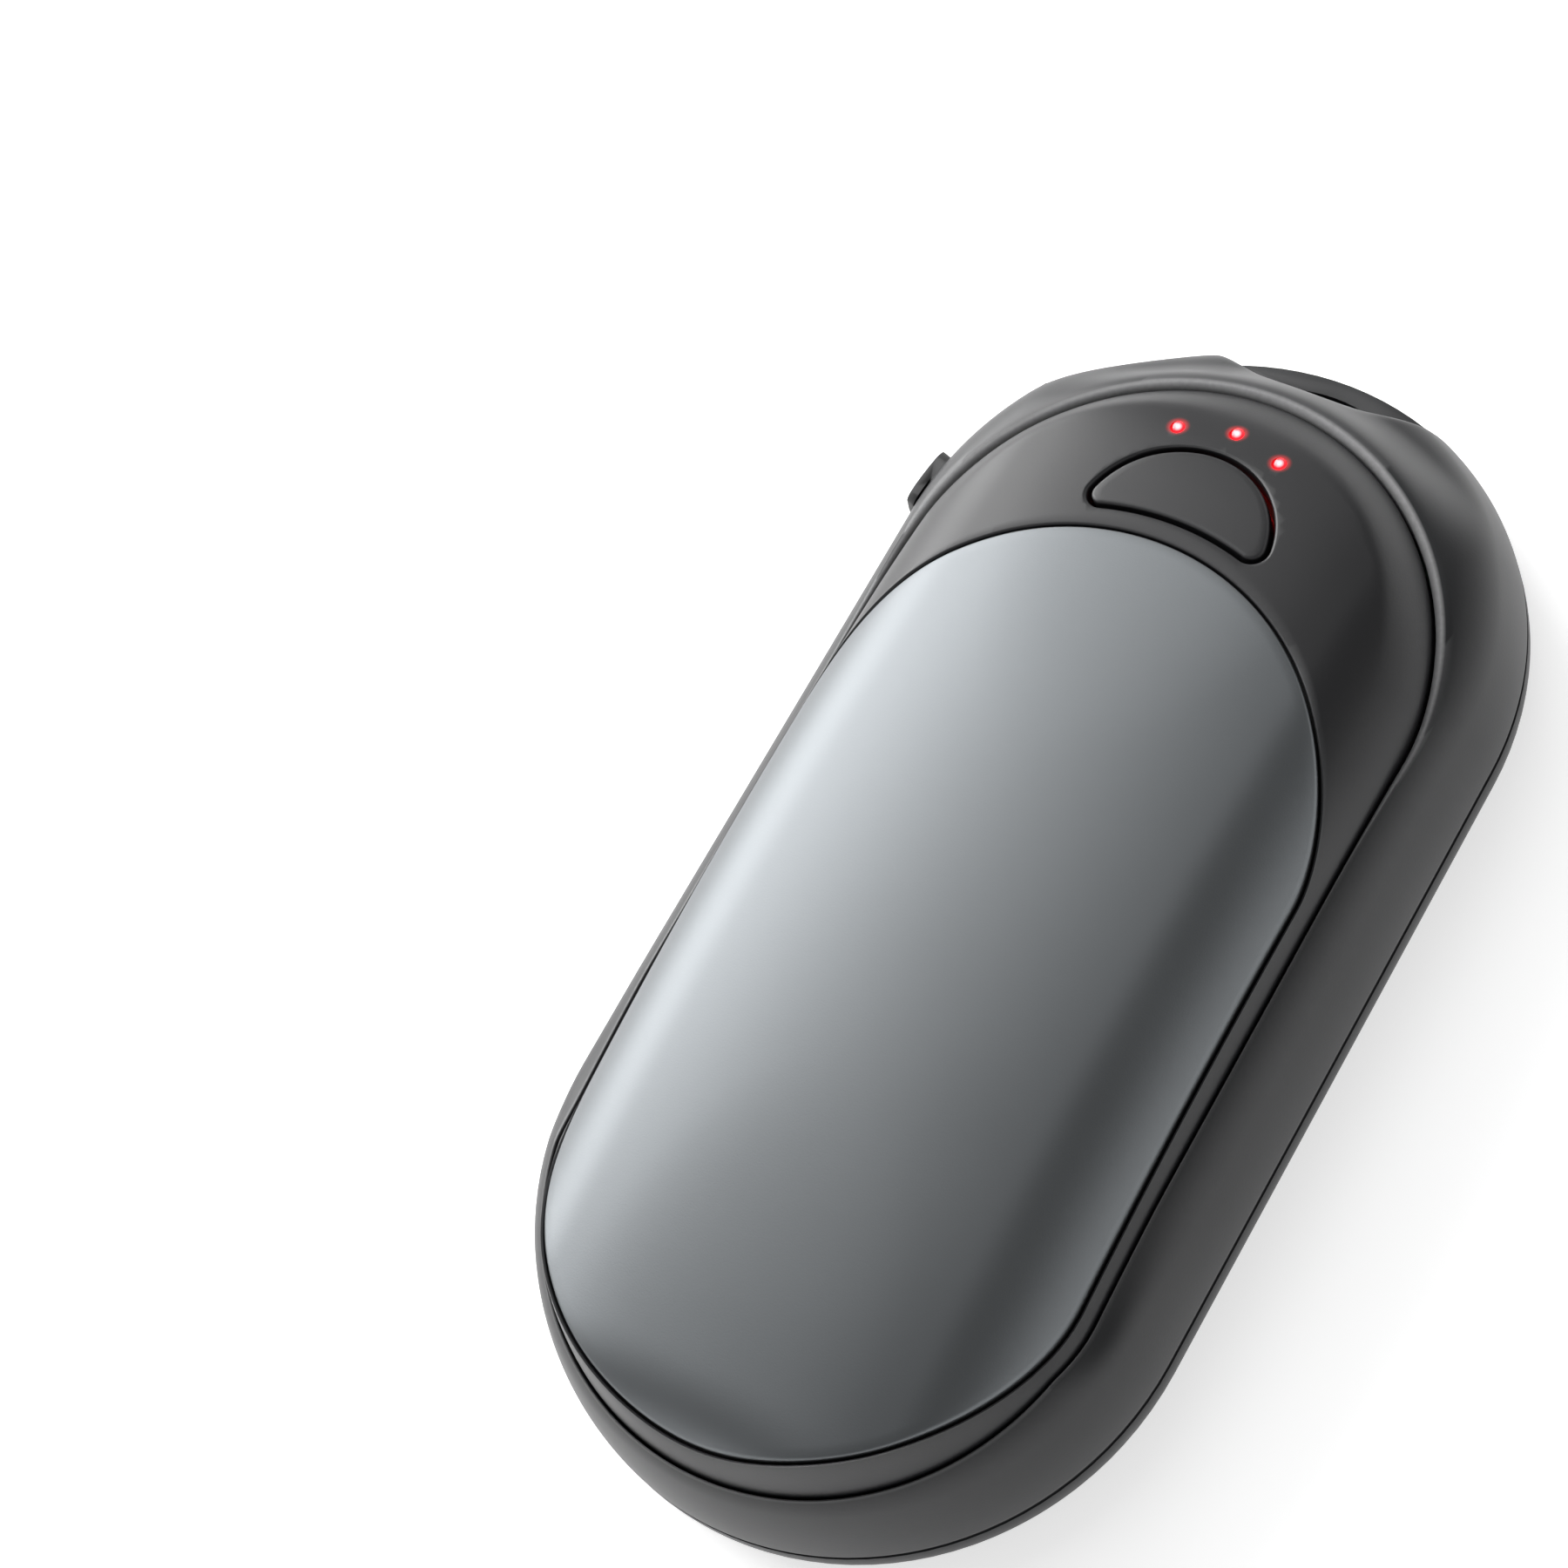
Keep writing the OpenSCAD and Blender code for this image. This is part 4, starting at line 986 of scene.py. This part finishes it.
@dataclass
class HeatPanel:
    """Crowned aluminium panel that lies in the plate's opening."""

    shape: BodyShape
    columns: int = 600
    rings: int = 30
    thickness: float = 1.2
    edge_round: float = 0.22

    def inside(self, share: float, drop: float) -> Station:
        """Station inside the edge, a share of the way out from the middle line."""

        def outline(turn: float) -> Plan:
            x, y = self.shape.panel.point(turn, -self.edge_round)
            middle_y = self.shape.panel.spine_y(y)
            return x * share, middle_y + (y - middle_y) * share

        return self.shape.under_crown(outline, drop)

    def edge(self, inset: float, drop: float) -> Station:
        """Station at the edge, an inset and a drop from its corner."""
        return self.shape.under_crown(lambda turn: self.shape.panel.point(turn, -inset), drop)

    def build(self) -> Piece:
        """Loft the panel from its middle line out and back underneath.

        Returns:
            The panel.
        """
        stations = [self.inside(k / self.rings, 0.0) for k in range(self.rings + 1)]
        for turn in map(math.radians, (30, 60, 90)):
            inset, drop = 1 - math.sin(turn), 1 - math.cos(turn)
            stations.append(self.edge(self.edge_round * inset, self.edge_round * drop))
        stations.append(self.edge(0.0, self.thickness))
        stations += [self.inside(k / 10, self.thickness) for k in range(10, -1, -1)]
        panel = lofted("heat_panel_sheet", self.columns, stations, ring=False)
        return finish_piece(panel, Body.CASE, "panel_metal", "heat_panel")


@dataclass
class PressButton:
    """Crescent push button and the hole that it moves in."""

    shape: BodyShape
    centre_y: float = 28.5
    radius: float = 7.65
    hollow_y: float = 5.95
    hollow_r: float = 23.75
    tip: Plan = (6.50, 29.83)
    tip_r: float = 1.0
    groove: float = 0.37
    depth: float = 3.2
    edge_round: float = 0.28
    middle_y: float = 32.6
    hole_under: float = 6.0
    hole_over: float = 2.0
    flare: tuple[Plan, ...] = ((0.0, 0.4), (0.02, 0.26), (0.09, 0.1), (0.22, 0.02), (0.6, -0.1))
    columns: int = 256
    rings: int = 12
    arc_shares: tuple[float, ...] = (0.5, 0.12, 0.26, 0.12)
    rounding_slack: float = 1e-9

    def outline(self, turn: float, outset: float) -> Plan:
        """Place on the button's outline.

        Args:
            turn: 0 to 1, from the +x tip over the top and back along the hollow side.
            outset: distance outside the outline.

        Returns:
            The plan place.
        """
        tip_x, tip_y = self.tip
        lean = math.atan2(tip_y - self.centre_y, tip_x)
        dip = math.atan2(tip_y - self.hollow_y, tip_x)
        swing = math.pi + lean - dip
        spans = (
            (0.0, self.centre_y, self.radius + outset, lean, math.pi - lean),
            (-tip_x, tip_y, self.tip_r + outset, math.pi - lean, math.pi - lean + swing),
            (0.0, self.hollow_y, self.hollow_r - outset, math.pi - dip, dip),
            (tip_x, tip_y, self.tip_r + outset, dip - math.pi, lean),
        )
        for (x, y, radius, start, end), share in zip(spans, self.arc_shares):
            if turn <= share + self.rounding_slack:
                angle = start + (end - start) * turn / share
                return x + radius * math.cos(angle), y + radius * math.sin(angle)
            turn -= share
        return self.outline(0.0, outset)

    def level(self, outset: float, drop: float) -> Station:
        """Station on the outline, a drop under the crown."""
        return self.shape.under_crown(lambda turn: self.outline(turn, outset), drop)

    def inside(self, share: float, drop: float) -> Station:
        """Station inside the outline, a share of the way out from the middle."""
        middle = Vector((0.0, self.middle_y))
        edge = -self.edge_round
        return self.shape.under_crown(
            lambda turn: tuple(middle.lerp(Vector(self.outline(turn, edge)), share)), drop
        )

    def build(self) -> Piece:
        """Loft the cap.

        Returns:
            The cap.
        """
        stations = [self.inside(k / self.rings, 0.0) for k in range(self.rings + 1)]
        for turn in map(math.radians, (30, 60, 90)):
            outset = self.edge_round * (math.sin(turn) - 1)
            stations.append(self.level(outset, self.edge_round * (1 - math.cos(turn))))
        stations.append(self.level(0.0, self.depth))
        stations += [self.inside(k / 3, self.depth) for k in (3, 2, 1, 0)]
        cap = lofted("press_button", self.columns, stations, ring=False)
        return finish_piece(cap, Body.BUTTON, "plate_plastic", "button_cap")

    def hole(self) -> Piece:
        """Make the cutter of the button's hole, flared so that the hole's edge is rounded.

        Returns:
            The closed cutter.
        """
        under, over = self.hole_under, -self.hole_over
        stations = [self.inside(0.0, under), self.level(self.groove, under)]
        stations += [self.level(self.groove + outset, drop) for outset, drop in self.flare]
        stations += [self.level(self.groove + self.flare[-1][0], over), self.inside(0.0, over)]
        return lofted("button_hole", self.columns, stations, ring=False)


@dataclass
class IndicatorLights:
    """Three round red light guides in an arc over the button."""

    shape: BodyShape
    radius: float = 0.5
    side_place: Plan = (4.48, 37.62)
    top_y: float = 38.9
    dome: float = 0.12
    hole_steps: tuple[Plan, ...] = (
        (0.03, -6.0), (0.03, -0.18), (0.09, 0.0), (0.23, 0.2), (0.23, 1.0),
    )
    foot_z: float = 14.8
    bar_t: float = 0.6
    core_fade: float = 1.3
    columns: int = 32
    # Reach of the red glow painted as emission on the plate round each light.
    spill_start: float = 0.45
    spill_end: float = 1.1

    @property
    def places(self) -> list[Plan]:
        """Plan places of the three lights."""
        x, y = self.side_place
        return [(-x, y), (0.0, self.top_y), (x, y)]

    def post(self, centre: Plan, levels: list[Plan], name: str) -> Piece:
        """Loft a round post.

        Args:
            centre: its plan place.
            levels: radius and height of each of its circles.
            name: the post's name.

        Returns:
            The closed post.
        """

        def station(radius: float, z: float) -> Station:
            def place(turn: float) -> Place:
                way = Vector((math.cos(2 * math.pi * turn), math.sin(2 * math.pi * turn)))
                return (*(Vector(centre) + radius * way), z)

            return place

        return lofted(name, self.columns, [station(*level) for level in levels], ring=False)

    def holes(self) -> list[Piece]:
        """Make the cutters of the three holes, each with a small countersink."""
        cutters = []
        for place in self.places:
            crown = self.shape.crown(*place)
            levels = [(self.radius + outset, crown + rise) for outset, rise in self.hole_steps]
            ends = [(0.0, levels[0][1]), (0.0, levels[-1][1])]
            cutters.append(self.post(place, [ends[0], *levels, ends[1]], "light_hole"))
        return cutters

    def build(self, frame: dict) -> Piece:
        """Make the domed guides, with their bar under the plate from the CAD node's box.

        Args:
            frame: the loaded frame.

        Returns:
            The guides as one piece.
        """
        guides = []
        for place in self.places:
            crown = self.shape.crown(*place)
            levels = [(0.0, self.foot_z), (self.radius, self.foot_z)]
            for turn in map(math.radians, (0, 20, 40, 60, 75, 90)):
                rise = self.dome * (math.sin(turn) - 1)
                levels.append((self.radius * math.cos(turn), crown + rise))
            guides.append(self.post(place, levels, "light_guide"))
        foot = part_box("light_guides")[0].z
        bar = traced(frame, "light_guides", "light_bar", 0.0)
        for vertex in bar.data.vertices:
            vertex.co.z = min(vertex.co.z, foot + self.bar_t * MM)
        close_and_smooth(bar)
        guides.append(bar)
        select_only(guides[0])
        for guide in guides[1:]:
            guide.select_set(True)
        bpy.ops.object.join()
        piece = bpy.context.object
        piece.name = "light_domes"
        core = piece.data.attributes.new("core", "FLOAT", "POINT")
        for vertex in piece.data.vertices:
            spot = vertex.co / MM
            reach = min(math.hypot(spot.x - x, spot.y - y) for x, y in self.places)
            core.data[vertex.index].value = max(0.0, 1.0 - self.core_fade * reach / self.radius)
        piece.data.materials.clear()
        piece.data.materials.append(glow_material())
        return finish_piece(piece, Body.CASE, "light_red", "light_guides")

    def paint_glow_on_plate(self, material: Material) -> None:
        """Paint the red glow round the three lights into the plate's material, as emission.

        Args:
            material: the plate's material.
        """
        tree = material.node_tree
        place = add_node(tree, "TexCoord").outputs["Object"]
        ends = {"From Min": self.spill_start * MM, "From Max": self.spill_end * MM}
        ends |= {"To Min": 1.0, "To Max": 0.0}
        total = 0.0
        for x, y in self.places:
            lamp = Vector((x, y, self.shape.crown(x, y))) * MM
            reach = add_node(tree, "VectorMath", {0: place, 1: lamp}, operation="DISTANCE")
            near = {"Value": reach.outputs["Value"]} | ends
            fade = add_node(tree, "MapRange", near, interpolation_type="SMOOTHERSTEP")
            both = {0: total, 1: fade.outputs["Result"]}
            total = add_node(tree, "Math", both, operation="ADD").outputs["Value"]
        colours = {"A": (0, 0, 0, 1), "B": (0.55, 0.004, 0.008, 1), "Factor": total}
        painted_red_glow = add_node(tree, "Mix", colours, data_type="RGBA")
        light = {"Emission Color": painted_red_glow.outputs["Result"], "Emission Strength": 1.0}
        feed(tree.nodes["Principled BSDF"], light)


@dataclass
class CopiedParts:
    """Parts that keep their CAD shape: the table's are copied and rounded, the rest dressed."""

    copies: tuple[tuple[str, str, float], ...] = (
        ("rear_cover", "rear_tray", 0.18),
        ("port_flap", "soft_flap", 0.22),
        ("flap_anchor", "soft_barb", 0.1),
        ("insulation_pad", "insulation_sheet", 0.12),
        ("battery_foam", "battery_cushion", 0.12),
        ("battery_leads", "cell_wires", 0.0),
        ("heater_leads", "heater_wires", 0.0),
    )

    def dress(self, frame: dict) -> None:
        """Copy the parts of the table, and give all other nodes that show their material.

        Args:
            frame: the loaded frame.
        """
        slots = {node: source.data.materials[0].name for node, source in frame["nodes"].items()}
        for node, name, edge in self.copies:
            body = Body(frame["nodes"][node]["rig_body"])
            finish_piece(traced(frame, node, name, edge), body, slots[node])
        for node, source in frame["nodes"].items():
            if source.hide_render:
                continue
            source.data.materials.clear()
            source.data.materials.append(FINISHES[slots[node]].make())
            log.info("%s: dressed as %s", node, slots[node])


@dataclass
class SoftBox:
    """A rectangular soft light that faces a point on the object."""

    name: str
    place: Place
    size: Plan
    watts: float
    aim: Place = (0.0, 0.0, 0.012)

    def add(self) -> None:
        """Add the light."""
        bpy.ops.object.light_add(type="AREA", location=self.place)
        light = bpy.context.object
        light.name = self.name
        light.data.shape = "RECTANGLE"
        light.data.size, light.data.size_y = self.size
        light.data.energy = self.watts
        way = Vector(self.aim) - Vector(self.place)
        light.rotation_euler = way.to_track_quat("-Z", "Y").to_euler()


@dataclass
class Studio:
    """Pale floor, soft lights and the camera at the photograph's angle."""

    camera_place: Place = (0.127716, -0.082611, 0.297511)
    camera_turn: Place = (26.5218, 16.6184, 31.0235)
    lens: float = 97.68
    floor_size: float = 3.0
    floor_lift: float = 0.6
    horizon_end: float = 0.1
    zenith_start: float = 0.75
    ceiling: float = 0.14
    lights: tuple[SoftBox, ...] = (
        SoftBox("low_left", (-0.8, 0.2, 0.36), (0.9, 0.7), 13.0),
        SoftBox("overhead", (-0.5, 0.3, 0.9), (0.9, 0.9), 4.0),
    )

    def build(self) -> None:
        """Set the camera, the floor, the world and the lights."""
        bpy.ops.object.camera_add(location=self.camera_place)
        camera = bpy.context.object
        camera.name = "photo_view"
        camera.rotation_euler = Euler([math.radians(a) for a in self.camera_turn], "XYZ")
        camera.data.lens = self.lens
        camera.data.sensor_width = 36
        camera.data.clip_start = 0.01
        bpy.context.scene.camera = camera
        bpy.ops.mesh.primitive_plane_add(size=self.floor_size, location=(0, 0, 0))
        floor = bpy.context.object
        floor.name = "floor"
        floor.data.materials.append(self.floor_material())
        for light in self.lights:
            light.add()
        world = bpy.data.worlds.new("studio")
        bpy.context.scene.world = world
        world.use_nodes = True
        tree = world.node_tree
        way = add_node(tree, "TexCoord").outputs["Generated"]
        height = add_node(tree, "SeparateXYZ", {"Vector": way}).outputs["Z"]
        ends = {"From Min": self.horizon_end, "From Max": self.zenith_start}
        ends |= {"To Min": 1.0, "To Max": self.ceiling}
        fade = add_node(tree, "MapRange", {"Value": height} | ends, interpolation_type="SMOOTHSTEP")
        sky = {"Strength": fade.outputs["Result"], "Color": (1, 1, 1, 1)}
        feed(tree.nodes["Background"], sky)
        bpy.context.scene.view_settings.view_transform = "Standard"

    def floor_material(self) -> Material:
        """Pale floor that the camera sees a little lighter, with the shadow kept.

        Returns:
            The material.
        """
        material = bpy.data.materials.new("floor")
        material.use_nodes = True
        tree = material.node_tree
        shader = tree.nodes["Principled BSDF"]
        pale = {"Base Color": (0.86, 0.86, 0.86, 1), "Roughness": 0.9, "Specular IOR Level": 0.1}
        feed(shader, pale)
        ray = add_node(tree, "LightPath").outputs
        rays = {0: ray["Is Camera Ray"], 1: ray["Is Glossy Ray"]}
        direct = add_node(tree, "Math", rays, operation="MAXIMUM").outputs["Value"]
        seen = add_node(tree, "Math", {0: direct, 1: self.floor_lift}, operation="MULTIPLY")
        glow = add_node(tree, "Emission", {"Strength": seen.outputs["Value"]})
        both = add_node(tree, "AddShader", {0: shader.outputs["BSDF"], 1: glow.outputs["Emission"]})
        feed(tree.nodes["Material Output"], {"Surface": both.outputs["Shader"]})
        return material


def main() -> None:
    """Build the warmer round its frame."""
    logging.basicConfig(level=logging.INFO, format="%(name)s: %(message)s")
    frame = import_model()
    Studio().build()
    shape, port = BodyShape(), PortFrame()
    button, lights = PressButton(shape), IndicatorLights(shape)
    FrontShell(shape, port).build()
    plate = FrontPlate(shape).build([button.hole(), *lights.holes()])
    HeatPanel(shape).build()
    button.build()
    lights.build(frame)
    lights.paint_glow_on_plate(plate.data.materials[0])
    CopiedParts().dress(frame)
    bpy.context.view_layer.update()


if __name__ == "__main__":
    main()
